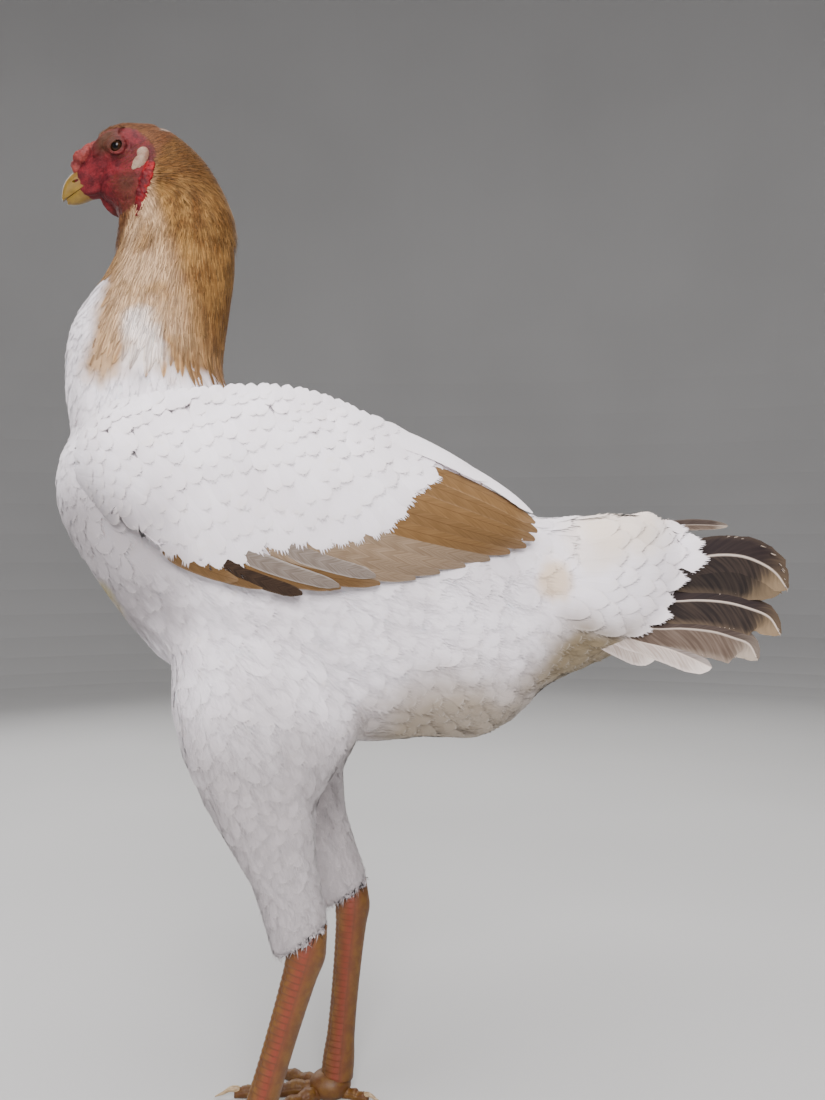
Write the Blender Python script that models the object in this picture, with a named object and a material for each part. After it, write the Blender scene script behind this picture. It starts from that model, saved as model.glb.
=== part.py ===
"""A Malay hen standing still, life size: a museum model in metres, +Z up, bill towards -X, left side towards -Y."""

import math

import bmesh
import bpy
from mathutils import Matrix, Vector
from mathutils.bvhtree import BVHTree

MM = 0.001
GAP = 0.32 * MM
FLAT = 2.2
TAU = 2 * math.pi

# Driving sizes of the bird, in millimetres. The floor is at z 0 and the origin is under the middle of its box.
STANCE = 47.0
VANE = 0.6
SHAFT_RISE = 0.35

# The trunk from breast to tail root: x, top, height of its widest place, bottom, half width.
TRUNK = (
    (-248, 447, 438, 429, 9),
    (-244.5, 462, 439, 411, 30),
    (-233, 478, 440, 391, 51),
    (-211, 489, 440, 359, 68),
    (-178, 495, 438, 318.5, 78),
    (-134, 497, 433, 290, 82),
    (-90, 494, 424, 270, 80),
    (-40, 480, 408, 261, 74),
    (0, 459, 390, 265, 66),
    (34, 440, 374, 264, 57),
    (62, 427, 362, 277, 47),
    (84, 420, 360, 300, 39),
    (118, 422.5, 366, 316, 31),
    (150, 421, 368, 330, 22),
    (174, 407, 367, 340, 9),
)
TRUNK_SIDES = 18
TAIL_CUT_X = 88.0

# The neck from shoulders to skull: front x and z, back x and z, half width.
NECK = (
    (-236, 452, -118, 466, 60),
    (-243, 481, -126, 495, 54),
    (-246.5, 511, -134, 516, 48),
    (-243, 543, -132, 540, 42),
    (-231, 565, -129, 562, 37),
    (-218, 582, -127, 584, 33),
    (-209, 601, -127, 604, 30),
    (-208, 618, -129, 622, 28),
    (-212, 629, -137, 642, 26),
    (-220, 636, -152, 664, 23),
    (-220, 648, -172, 680, 19),
    (-210, 662, -190, 682, 9),
)
NECK_SIDES = 14
NECK_CUT = ((-242, 463), (-118, 499))
HEAD_CUT = ((-207, 622), (-163, 686))

# The head's own frame: its middle between the eyes, the bill's dip and the tilt of its left side down.
HEAD_AT = (-208.5, 666.5)
HEAD_DIP = 32.0
HEAD_TILT = 14.0
# The skull along the head's axis: u, height of its middle, half height, half width.
SKULL = (
    (-33, -10, 8, 7),
    (-29, -8.5, 12, 11),
    (-22, -6.5, 14.5, 15),
    (-12, -5, 18.5, 17.5),
    (-2, -4.5, 19.5, 18),
    (6, -5, 18.8, 17),
    (14, -6.2, 16, 14),
    (22, -7, 13.3, 11.3),
    (29, -7, 11.3, 9.2),
    (35, -7.2, 9.5, 7.8),
)
BILL_CUT = 29.5
GAPE = -8.2
GAPE_END = 21.5
# The bill: u, height of its ridge or keel, half width.
BILL_UPPER = ((26, 4.6, 9.2), (33, 3.9, 8.1), (40, 1.9, 6.6), (45, -1.4, 5.0), (48.6, -5.4, 3.4))
BILL_LOWER = ((26, -17.8, 8.4), (33, -17.2, 7.2), (40, -15.8, 5.6), (45, -13.8, 3.6))
BILL_HOOK = (50.0, -10.8)

EYE = (0, -16.2, 0.5)
EYE_BALL = 6.3
LID = 1.3
EYE_OPENING = (4.9, 4.3)
LOBE = (-9.0, -14.5)
# The small fold that hangs from the earlobe: u, v, half width, how far it stands out.
LAPPET = (
    (-4.0, -18.0, 2.0, 1.6),
    (-3.6, -21.5, 4.0, 3.2),
    (-2.8, -28.0, 4.8, 3.9),
    (-0.6, -34.5, 4.4, 3.7),
    (2.2, -41.0, 3.6, 3.1),
    (4.2, -46.0, 1.6, 1.6),
)

# The wing's outer face: x, top, bottom, how far out it stands.
WING = (
    (-221, 461, 443, 72),
    (-207, 485, 426, 84),
    (-188, 493, 408, 93),
    (-139, 499, 380, 101),
    (-90, 500.5, 369, 102),
    (-62, 494.5, 369.5, 99),
    (-34, 482, 372, 93),
    (8, 458, 380, 81),
    (45, 438, 391, 65),
    (74, 417, 404, 50),
)
WING_ROLL = (30.0, 15.0)
WING_CORE_DEPTH = 34.0
# How far the wing's core lies under the faces of its coverts.
WING_LAYERS = 5.5

# Thigh from hip to hock, for a leg whose hock is at HOCK_X: front x and z, back x and z, out, half width.
THIGH = (
    (-167, 338, -52, 330, 36, 34),
    (-166, 293, -34, 284, 43, 36),
    (-158, 264, -48, 259, 46.5, 32),
    (-143, 232, -65, 235, 47.5, 26.5),
    (-127, 206, -67, 206, 47.5, 22),
    (-112, 181, -64, 183, 47, 18.5),
    (-104, 157, -59.5, 160, 47, 16),
    (-97, 132, -60.5, 151, 47, 12),
)
HIP_Z = 300.0
HOCK = (-73.0, 144.0)
# Each leg: its side, how far back its hock is, its ankle's x.
LEGS = {"left": (-1, 0.0, -112.0), "right": (1, 23.0, -62.0)}

# Feathers on the side of the wing and the tail: root and tip as x and z, bend of the shaft, width.
FLIGHT = (
    ((-9.4, 460.5), (66.5, 416.0), 5.0),
    ((-12.1, 451.5), (70.4, 412.0), 2.2),
    ((-17.9, 443.0), (72.0, 407.4), 0.0),
    ((-25.6, 433.6), (70.7, 402.7), -1.0),
    ((-33.4, 425.9), (65.3, 398.4), -1.9),
    ((-45.2, 418.3), (54.6, 394.6), -2.5),
    ((-59.9, 412.0), (41.6, 390.3), -3.1),
    ((-74.7, 406.9), (25.6, 386.0), -3.1),
    ((-89.4, 402.4), (9.4, 382.1), -3.0),
    ((-104.2, 398.3), (-5.7, 378.5), -3.0),
    ((-119.0, 394.7), (-27.4, 375.2), -3.0),
    ((-133.8, 392.6), (-51.0, 372.9), -2.4),
    ((-146.8, 390.0), (-74.9, 371.6), -1.8),
)
GREATER = (
    ((-15.8, 462.4), (8.8, 451.8), 0.0, 12.1),
    ((-19.3, 451.1), (5.7, 435.4), 0.0, 14.5),
    ((-25.2, 443.5), (-2.7, 429.7), 0.0, 14.9),
    ((-34.7, 435.2), (-11.6, 418.1), 0.0, 16.0),
    ((-47.1, 425.7), (-25.2, 406.8), 0.0, 16.5),
    ((-64.2, 419.8), (-43.0, 399.7), 0.0, 16.5),
    ((-82.0, 418.6), (-60.7, 398.0), 0.0, 16.5),
    ((-98.5, 420.4), (-78.4, 399.7), 0.0, 16.5),
    ((-113.9, 419.8), (-95.6, 396.8), 0.0, 16.5),
    ((-129.2, 415.1), (-111.5, 390.3), 0.0, 16.0),
    ((-144.6, 412.7), (-128.1, 387.3), 0.0, 16.0),
    ((-160.0, 416.3), (-145.2, 390.9), 0.0, 16.0),
    ((-174.2, 423.4), (-161.7, 397.4), 0.0, 15.4),
)
MEDIAN = (
    ((-33.5, 469.5), (-11.6, 459.0), 0.0, 11.9),
    ((-37.0, 457.6), (-15.8, 446.4), 0.0, 13.6),
    ((-44.1, 450.6), (-22.9, 437.0), 0.0, 14.2),
    ((-53.6, 443.5), (-33.5, 428.7), 0.0, 14.8),
    ((-66.0, 437.6), (-46.5, 421.0), 0.0, 15.4),
    ((-80.8, 435.2), (-63.0, 416.9), 0.0, 15.4),
    ((-96.1, 436.4), (-79.6, 416.9), 0.0, 15.4),
    ((-111.5, 437.6), (-96.1, 416.9), 0.0, 15.4),
    ((-126.9, 436.4), (-112.7, 414.5), 0.0, 15.4),
    ((-142.2, 434.0), (-129.2, 411.0), 0.0, 15.4),
    ((-156.4, 435.2), (-144.6, 412.1), 0.0, 15.4),
    ((-170.6, 438.7), (-160.0, 416.9), 0.0, 14.8),
)
RECTRICES = (
    ((117.6, 396.3), (249.3, 375.0), 14.5, 27.6),
    ((116.3, 389.7), (248.8, 362.5), 12.0, 29.3),
    ((114.3, 379.0), (236.8, 342.4), 6.7, 29.3),
    ((111.0, 367.0), (218.8, 325.1), 4.7, 26.6),
    ((107.0, 360.7), (212.8, 327.3), 2.7, 21.0),
    ((103.0, 354.1), (185.5, 322.9), 1.3, 16.3),
    ((97.7, 345.1), (147.6, 326.1), 1.3, 12.3),
)
TAIL_COVERTS = (
    ((122.6, 411.3), (163.9, 418.3), 2.0, 13.0),
    ((129.6, 404.3), (192.9, 407.7), 1.3, 7.3),
    ((130.9, 400.7), (192.2, 395.7), 0.0, 18.0),
    ((130.3, 384.3), (182.9, 377.7), 0.0, 22.6),
    ((122.3, 372.4), (172.2, 363.0), 0.0, 22.6),
    ((114.6, 364.4), (158.9, 352.4), 0.0, 21.3),
    ((106.3, 357.7), (144.9, 337.7), 0.0, 18.6),
)
# The tail's ridge, x and z, and how far its sides stand out for each millimetre below the ridge.
TAIL_RIDGE = ((88, 412), (118, 411), (150, 411), (183, 411), (210, 408), (232, 399), (249, 385), (262, 366))
TAIL_SPREAD = ((88, 0.30), (140, 0.22), (190, 0.27), (260, 0.40))

# Shank from the hock down: share of its length, half depth, half width.
SHANK = (
    (-0.1, 8.0, 6.2),
    (-0.02, 10.6, 8.3),
    (0.05, 12.2, 9.2),
    (0.16, 10.8, 8.0),
    (0.45, 9.6, 7.0),
    (0.75, 9.7, 7.2),
    (0.9, 11.2, 9.0),
    (1.0, 11.5, 10.5),
)
ANKLE_Z = 13.0
# Toes: turn from straight ahead towards the bird's middle, length without the claw, radius.
TOES = {
    "3": (4.0, 66.0, 5.9),
    "2": (38.0, 50.0, 5.4),
    "4": (-34.0, 52.0, 5.3),
    "1": (158.0, 27.0, 4.6),
}
# Along a toe: share of its length, share of its radius.
TOE_SHAPE = ((0.0, 1.15), (0.2, 0.98), (0.32, 1.12), (0.46, 0.9), (0.6, 1.05), (0.72, 0.84), (0.87, 0.95), (1.0, 0.62))
CLAW = {"1": 12.0, "2": 12.5, "3": 14.0, "4": 11.5}

COLOURS = {
    "plumage": ((0.82, 0.78, 0.74), 0.9),
    "hackle": ((0.62, 0.36, 0.14), 0.85),
    "flight": ((0.62, 0.5, 0.36), 0.8),
    "face": ((0.55, 0.07, 0.05), 0.6),
    "lobe": ((0.8, 0.62, 0.56), 0.6),
    "horn": ((0.72, 0.5, 0.13), 0.4),
    "shank": ((0.74, 0.42, 0.08), 0.5),
    "eye": ((0.1, 0.04, 0.02), 0.1),
}
FINISH = {
    "torso": "plumage",
    "neck": "hackle",
    "head": "face",
    "comb": "face",
    "bill": "horn",
    "eye": "eye",
    "earlobe": "lobe",
    "wattle": "face",
    "wing": "flight",
    "tail": "plumage",
    "thigh": "plumage",
    "shank": "shank",
    "foot": "shank",
    "toe": "shank",
    "claw": "horn",
}


def mm(*values):
    """A point given in millimetres."""
    return Vector(values) * MM


def paint(name, colour, roughness):
    """A plain finish in a feather, skin or horn colour."""
    material = bpy.data.materials.new(name)
    material.use_nodes = True
    shader = material.node_tree.nodes["Principled BSDF"]
    shader.inputs["Base Color"].default_value = (*colour, 1)
    shader.inputs["Roughness"].default_value = roughness
    shader.inputs["Metallic"].default_value = 0
    return material


def place(name, mesh, parent=None):
    """Links a mesh as an object of the bird's collection, or of a helper one."""
    obj = bpy.data.objects.new(name, mesh)
    (parent or bpy.context.scene.collection).objects.link(obj)
    return obj


def from_bmesh(name, bm):
    """Turns a bmesh into a closed object whose faces point out."""
    bmesh.ops.recalc_face_normals(bm, faces=bm.faces)
    mesh = bpy.data.meshes.new(name)
    bm.to_mesh(mesh)
    bm.free()
    return place(name, mesh)


def values_at(rows, x):
    """The rows' values at x, on a smooth curve through the rows, whose first value is x."""
    x = min(max(x, rows[0][0]), rows[-1][0])
    k = next(i for i in range(len(rows) - 1) if x <= rows[i + 1][0])
    before, a, b, after = rows[max(k - 1, 0)], rows[k], rows[k + 1], rows[min(k + 2, len(rows) - 1)]
    span = b[0] - a[0]
    t = (x - a[0]) / span
    found = []
    for p, q, r, s in zip(before[1:], a[1:], b[1:], after[1:]):
        start = (r - p) / (b[0] - before[0]) * span
        end = (s - q) / (after[0] - a[0]) * span
        found.append(
            (2 * t**3 - 3 * t**2 + 1) * q
            + (t**3 - 2 * t**2 + t) * start
            + (3 * t**2 - 2 * t**3) * r
            + (t**3 - t**2) * end
        )
    return found


def smooth_rows(rows, steps):
    """The rows with more between them, on a Catmull-Rom curve, steps to each span."""
    first = [2 * p - q for p, q in zip(rows[0], rows[1])]
    last = [2 * p - q for p, q in zip(rows[-1], rows[-2])]
    padded = [first, *rows, last]
    made = []
    for k in range(1, len(padded) - 2):
        for step in range(steps):
            t = step / steps
            made.append(
                [
                    0.5 * (2 * b + (c - a) * t + (2 * a - 5 * b + 4 * c - d) * t**2 + (3 * b - a - 3 * c + d) * t**3)
                    for a, b, c, d in zip(padded[k - 1], padded[k], padded[k + 1], padded[k + 2])
                ]
            )
    return [*made, list(rows[-1])]


def oval(centre, across, rise, drop, sides, fullness=2.0):
    """A ring round centre: across is half its width, rise and drop reach its top and bottom."""
    ring = []
    for k in range(sides):
        angle = TAU * (k + 0.5) / sides
        c, s = math.cos(angle), math.sin(angle)
        reach = (abs(c) ** fullness + abs(s) ** fullness) ** (-1 / fullness)
        ring.append(centre + across * c * reach + (rise if s > 0 else drop) * abs(s) * reach)
    return ring


def loft(name, rings):
    """A closed skin over rings of as many points each, with a pole in each end."""
    bm = bmesh.new()
    made = [[bm.verts.new(point) for point in ring] for ring in rings]
    for near, far in zip(made, made[1:]):
        for k, point in enumerate(near):
            bm.faces.new((point, near[k - 1], far[k - 1], far[k]))
    for ring in (made[0], made[-1]):
        pole = bm.verts.new(sum((v.co for v in ring), Vector()) / len(ring))
        for k, point in enumerate(ring):
            bm.faces.new((point, ring[k - 1], pole))
    return from_bmesh(name, bm)


def ball(name, centre, radii, turn=None, detail=2):
    """An ellipsoid from an icosphere, turned about its centre."""
    bm = bmesh.new()
    bmesh.ops.create_icosphere(bm, subdivisions=detail, radius=1)
    shape = Matrix.Diagonal((*radii, 1))
    bmesh.ops.transform(bm, matrix=Matrix.Translation(centre) @ (turn or Matrix()) @ shape, verts=bm.verts)
    return from_bmesh(name, bm)


def largest(mesh):
    """Keeps the mesh's largest closed surface and welds what a Boolean left loose."""
    bm = bmesh.new()
    bm.from_mesh(mesh)
    bmesh.ops.triangulate(bm, faces=bm.faces)
    left, surfaces = set(bm.faces), []
    while left:
        front = [left.pop()]
        surface = set(front)
        while front:
            face = front.pop()
            for edge in face.edges:
                for other in edge.link_faces:
                    if other in left:
                        left.remove(other)
                        surface.add(other)
                        front.append(other)
        surfaces.append(surface)
    volume = lambda faces: abs(
        sum(f.verts[0].co.dot(f.verts[1].co.cross(f.verts[2].co)) for f in faces)
    )
    kept = max(surfaces, key=volume)
    bmesh.ops.delete(bm, geom=[f for f in bm.faces if f not in kept], context="FACES")
    bmesh.ops.dissolve_limit(bm, angle_limit=math.radians(FLAT), verts=bm.verts, edges=bm.edges)
    bmesh.ops.triangulate(bm, faces=bm.faces)
    bm.to_mesh(mesh)
    bm.free()


def closed(mesh):
    """Whether every edge of the mesh has two faces."""
    uses = [0] * len(mesh.edges)
    for loop in mesh.loops:
        uses[loop.edge_index] += 1
    return all(count == 2 for count in uses)


def applied(obj):
    """Gives the object its evaluated mesh and clears its modifiers."""
    bpy.context.view_layer.update()
    graph = bpy.context.evaluated_depsgraph_get()
    mesh = bpy.data.meshes.new_from_object(obj.evaluated_get(graph))
    obj.modifiers.clear()
    obj.data = mesh
    return obj


def combine(target, pieces, operation):
    """Joins the pieces to the target, or cuts them from it, in one Boolean, and removes them."""
    group = bpy.data.collections.new("operands")
    bpy.context.scene.collection.children.link(group)
    for piece in pieces:
        for owner in list(piece.users_collection):
            owner.objects.unlink(piece)
        group.objects.link(piece)
    before = target.data
    for solver in ("MANIFOLD", "EXACT"):
        target.data = before
        modifier = target.modifiers.new(operation.title(), "BOOLEAN")
        modifier.operation = operation
        modifier.operand_type = "COLLECTION"
        modifier.collection = group
        modifier.solver = solver
        applied(target)
        if target.data.polygons and closed(target.data):
            break
        print(solver, operation, target.name, "left", len(target.data.polygons), "faces")
    for piece in pieces:
        bpy.data.objects.remove(piece)
    bpy.data.collections.remove(group)
    largest(target.data)
    return target


def fuse(name, pieces):
    """One closed body from pieces that overlap."""
    target = combine(pieces[0], pieces[1:], "UNION") if len(pieces) > 1 else pieces[0]
    target.name = name
    return target


def carve(target, cutters):
    """The target without its cutters."""
    return combine(target, cutters, "DIFFERENCE")


def copy_of(obj, name):
    """The same shape under another name."""
    return place(name, obj.data.copy())


def grown(obj, distance):
    """A copy whose surface stands out by distance, to cut what lies against the shape."""
    made = copy_of(obj, obj.name + "_grown")
    bm = bmesh.new()
    bm.from_mesh(made.data)
    bm.normal_update()
    moves = [v.normal * distance * min(v.calc_shell_factor(), 2) for v in bm.verts]
    for vert, move in zip(bm.verts, moves):
        vert.co += move
    bm.to_mesh(made.data)
    bm.free()
    return made


def half_of(obj, name, point, normal):
    """The part of a closed shape on the side of a plane that the normal points to, half a gap off it."""
    made = copy_of(obj, name)
    bm = bmesh.new()
    bm.from_mesh(made.data)
    geometry = [*bm.verts, *bm.edges, *bm.faces]
    bmesh.ops.bisect_plane(
        bm, geom=geometry, plane_co=point + normal * GAP / 2, plane_no=normal, clear_inner=True
    )
    bmesh.ops.holes_fill(bm, edges=[e for e in bm.edges if e.is_boundary], sides=0)
    bmesh.ops.recalc_face_normals(bm, faces=bm.faces)
    bm.to_mesh(made.data)
    bm.free()
    largest(made.data)
    return made


def mirrored(obj, name):
    """The same piece on the bird's right side."""
    made = copy_of(obj, name)
    made.data.transform(Matrix.Scale(-1, 4, (0, 1, 0)))
    made.data.flip_normals()
    return made


def plate(name, grid, thickness, shaft):
    """A thin vane over a grid of points and normals, split into triangles alike on both faces."""
    bm = bmesh.new()
    middle = (len(grid[0]) - 1) / 2
    under = [[bm.verts.new(p) for p, n in row] for row in grid]
    over = [
        [bm.verts.new(p + n * (thickness + shaft * (j == middle))) for j, (p, n) in enumerate(row)] for row in grid
    ]
    rows, columns = len(grid), len(grid[0])
    for i in range(rows - 1):
        for j in range(columns - 1):
            for sheet in (under, over):
                a, b, c, d = sheet[i][j], sheet[i + 1][j], sheet[i + 1][j + 1], sheet[i][j + 1]
                for corners in ((a, b, c), (a, c, d)) if j < middle else ((a, b, d), (b, c, d)):
                    bm.faces.new(corners)
    rim = [(i, 0) for i in range(rows)]
    rim += [(rows - 1, j) for j in range(1, columns)]
    rim += [(i, columns - 1) for i in range(rows - 2, -1, -1)]
    rim += [(0, j) for j in range(columns - 2, 0, -1)]
    for k, (i, j) in enumerate(rim):
        p, q = rim[k - 1]
        a, b, c, d = under[p][q], under[i][j], over[i][j], over[p][q]
        bm.faces.new((a, b, c))
        bm.faces.new((a, c, d))
    return from_bmesh(name, bm)


# Along a vane: share of its length, share of its width, share of its rise from root to tip.
FLIGHT_SHAPE = (
    (0.0, 0.85, 0.0),
    (0.15, 1.0, 0.6),
    (0.5, 1.0, 0.78),
    (0.9, 0.9, 0.96),
    (1.0, 0.4, 1.0),
)
RECTRIX_SHAPE = ((0.0, 0.5, 0.0), (0.38, 0.85, 0.38), (0.7, 1.0, 0.7), (0.93, 0.8, 0.93), (1.0, 0.35, 1.0))
COVERT_SHAPE = ((0.0, 0.75, 0.0), (0.7, 1.0, 0.8), (1.0, 0.42, 1.0))


def feather(name, surface, root, tip, bend, widths, shape, lift, tilt):
    """A vane laid on a surface: surface(a, b, height) gives a point and normal for flat places a and b.

    root and tip are flat places, bend moves its middle to one side, widths are those of root and tip,
    lift gives its height at root and tip, and tilt raises its lower edge over the next vane."""
    root, tip = Vector(root), Vector(tip)
    along = (tip - root).normalized()
    aside = Vector((-along.y, along.x))
    grid = []
    for t, share, climb in shape:
        middle = root.lerp(tip, t) + aside * bend * 4 * t * (1 - t)
        rise = lift[0] + (lift[1] - lift[0]) * climb
        width = (widths[0] + (widths[1] - widths[0]) * t) * share
        row = []
        for side in (-1, 0, 1):
            back = along * width * 0.3 if side and t == 1.0 else Vector((0, 0))
            spot = middle + aside * side * width / 2 - back
            row.append(surface(spot.x, spot.y, rise - tilt * side / 2 * min(1, 3 * t)))
        grid.append(row)
    return plate(name, grid, VANE * MM, SHAFT_RISE * MM if name != "covert" else 0)


def pitches(rows):
    """How far each row of a fan lies from the next one, at its root and at its tip."""
    found = []
    for near, far in zip(rows, rows[1:]):
        line = (Vector(near[1]) - Vector(near[0])).normalized()
        across = Vector((-line.y, line.x))
        found.append([abs((Vector(near[k]) - Vector(far[k])).dot(across)) for k in (0, 1)])
    return [*found, found[-1]]


def surface_of(spot):
    """A function giving the point at a height over the face that spot(a, b) describes, and its outward normal."""

    def over(a, b, height):
        step = 1.5
        one = spot(a + step, b) - spot(a - step, b)
        other = spot(a, b + step) - spot(a, b - step)
        normal = one.cross(other).normalized()
        if normal.y > 0:
            normal.negate()
        return spot(a, b) + normal * height * MM, normal

    return over


def wing_face(x, z):
    """The outer face of the left wing's core at x and z."""
    top, bottom, out = values_at(WING, x)
    r = (z - (top + bottom) / 2) / max((top - bottom) / 2, 1)
    r = min(max(r, -1.25), 1.25)
    roll = WING_ROLL[0] if r > 0 else WING_ROLL[1]
    out -= roll * abs(r) ** 2.2 * min(1, (top - bottom) / 60)
    return mm(x, WING_LAYERS - out, z)


def tail_face(x, z):
    """The left side of the tail, which hangs from its ridge like a tent."""
    ridge, = values_at(TAIL_RIDGE, x)
    spread, = values_at(TAIL_SPREAD, x)
    return mm(x, -1.0 - spread * max(ridge - z, 0), z)


def stump_face(x, z):
    """The left side of the tail with its stump, which the coverts lie on."""
    top, widest, bottom, half = values_at(TRUNK, x)
    r = (z - widest) / ((top if z > widest else bottom) - widest)
    stump = half * max(1 - min(abs(r), 1) ** 2.15, 0) ** (1 / 2.15)
    tent = -tail_face(x, z).y / MM
    gap = stump - tent - 1.2
    blend = 0.5 * (gap + math.sqrt(gap * gap + 9))
    return mm(x, -(tent + 1.2 + blend), z)


on_wing = surface_of(wing_face)
on_tail = surface_of(tail_face)
on_stump = surface_of(stump_face)


def wing(torso, neck):
    """The left wing: a core against the trunk with its tiers of vanes."""
    rings = []
    for x, top, bottom, out in WING:
        x = WING[0][0] + (x - WING[0][0]) * 0.975
        top -= 3.5 * min(max((x + 80) / 120, 0), 1)
        bottom += 3.5
        middle, half = (top + bottom) / 2, (top - bottom) / 2
        outer = [wing_face(x, middle + half * share) for share in (-1, -0.8, -0.45, 0, 0.45, 0.8, 1)]
        inner = [wing_face(x, middle + half * share) + mm(0, WING_CORE_DEPTH, 0) for share in (0.8, 0, -0.8)]
        rings.append(outer + inner)
    pieces = [loft("wing_core", rings)]
    for (root, tip, bend), (first, last) in zip(FLIGHT, pitches(FLIGHT)):
        widths = (first * 1.2, max(last, 3.5) * 1.2)
        pieces.append(feather("flight", on_wing, root, tip, bend, widths, FLIGHT_SHAPE, (-2, 1.7), 1.3))
    for tier in (GREATER, MEDIAN):
        for root, tip, bend, width in tier:
            pieces.append(feather("covert", on_wing, root, tip, bend, (width, width), COVERT_SHAPE, (-2, 3.2), 0.5))
    made = fuse("wing_left", pieces)
    return carve(made, [grown(torso, GAP), grown(neck, GAP)])


def tail(stump):
    """The tail: its stump with the tent of tail feathers and their coverts."""
    vanes = []
    for k, (root, tip, bend, width) in enumerate(RECTRICES):
        vanes.append(feather("rectrix", on_tail, root, tip, bend, (width, width), RECTRIX_SHAPE, (0.4 - k, 0.8 - k), 1.3))
    for root, tip, bend, width in TAIL_COVERTS:
        vanes.append(feather("covert", on_stump, root, tip, bend, (width, width), COVERT_SHAPE, (-2.5, 2.6), 0.8))
    return fuse("tail", [copy_of(stump, "stump"), *vanes, *(mirrored(vane, "right_vane") for vane in vanes)])


DIP, TILT = math.radians(HEAD_DIP), math.radians(HEAD_TILT)
FORWARD = Vector((-math.cos(DIP), 0, -math.sin(DIP)))
LEVEL_UP = Vector((-math.sin(DIP), 0, math.cos(DIP)))
HEAD_UP = LEVEL_UP * math.cos(TILT) - Vector((0, 1, 0)) * math.sin(TILT)
HEAD_RIGHT = Vector((0, 1, 0)) * math.cos(TILT) + LEVEL_UP * math.sin(TILT)
HEAD_ORIGIN = mm(HEAD_AT[0], 0, HEAD_AT[1])
HEAD_TURN = Matrix((FORWARD, HEAD_RIGHT, HEAD_UP)).transposed().to_4x4()


def in_head(u, y, v):
    """A point of the head's frame, in millimetres: ahead, to the right, up."""
    return HEAD_ORIGIN + (FORWARD * u + HEAD_RIGHT * y + HEAD_UP * v) * MM


def head_ball(name, centre, radii, roll=0.0, pitch=0.0, detail=2):
    """An ellipsoid in the head's frame, pitched about its crosswise axis and rolled about its own length."""
    turn = HEAD_TURN @ Matrix.Rotation(math.radians(pitch), 4, "Y") @ Matrix.Rotation(math.radians(roll), 4, "X")
    return ball(name, in_head(*centre), mm(*radii), turn, detail)


def skull_parts():
    """The skull with its brows, cheeks, throat fold and lids."""
    rings = []
    for u, middle, rise, half in smooth_rows(SKULL, 2):
        rings.append(oval(in_head(u, 0, middle), HEAD_RIGHT * half * MM, HEAD_UP * rise * MM, -HEAD_UP * rise * MM, 16, 2.2))
    parts = [loft("skull", rings)]
    parts.append(head_ball("throat", (18, 0, -27), (9.5, 5.5, 13.5), 0, 18))
    for side in (-1, 1):
        parts.append(head_ball("brow", (2.5, side * 12.0, 8.3), (13.0, 5.4, 4.6), side * 25, 8))
        parts.append(head_ball("cheek", (-2, side * 12.5, -11.5), (13, 5.2, 7.5), 0, 12))
        parts.append(head_ball("lids", (EYE[0], side * -EYE[1], EYE[2]), (EYE_BALL + LID,) * 3))
    return parts


def flesh():
    """Trunk, neck and skull as one closed shape."""
    trunk = []
    for x, top, widest, bottom, half in smooth_rows(TRUNK, 2):
        trunk.append(
            oval(mm(x, 0, widest), mm(0, half, 0), mm(0, 0, top - widest), mm(0, 0, bottom - widest), TRUNK_SIDES, 2.15)
        )
    neck = []
    for fx, fz, bx, bz, half in smooth_rows(NECK, 2):
        front, back = mm(fx, 0, fz), mm(bx, 0, bz)
        middle = (front + back) / 2
        neck.append(oval(middle, mm(0, half, 0), front - middle, back - middle, NECK_SIDES, 2.1))
    return fuse("flesh", [loft("trunk", trunk), loft("neck", neck), *skull_parts()])


def cut_plane(line):
    """A point and the upward normal of a crosswise plane through two places given as x and z."""
    a, b = mm(line[0][0], 0, line[0][1]), mm(line[1][0], 0, line[1][1])
    normal = (b - a).cross(Vector((0, 1, 0))).normalized()
    return a, normal


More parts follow.
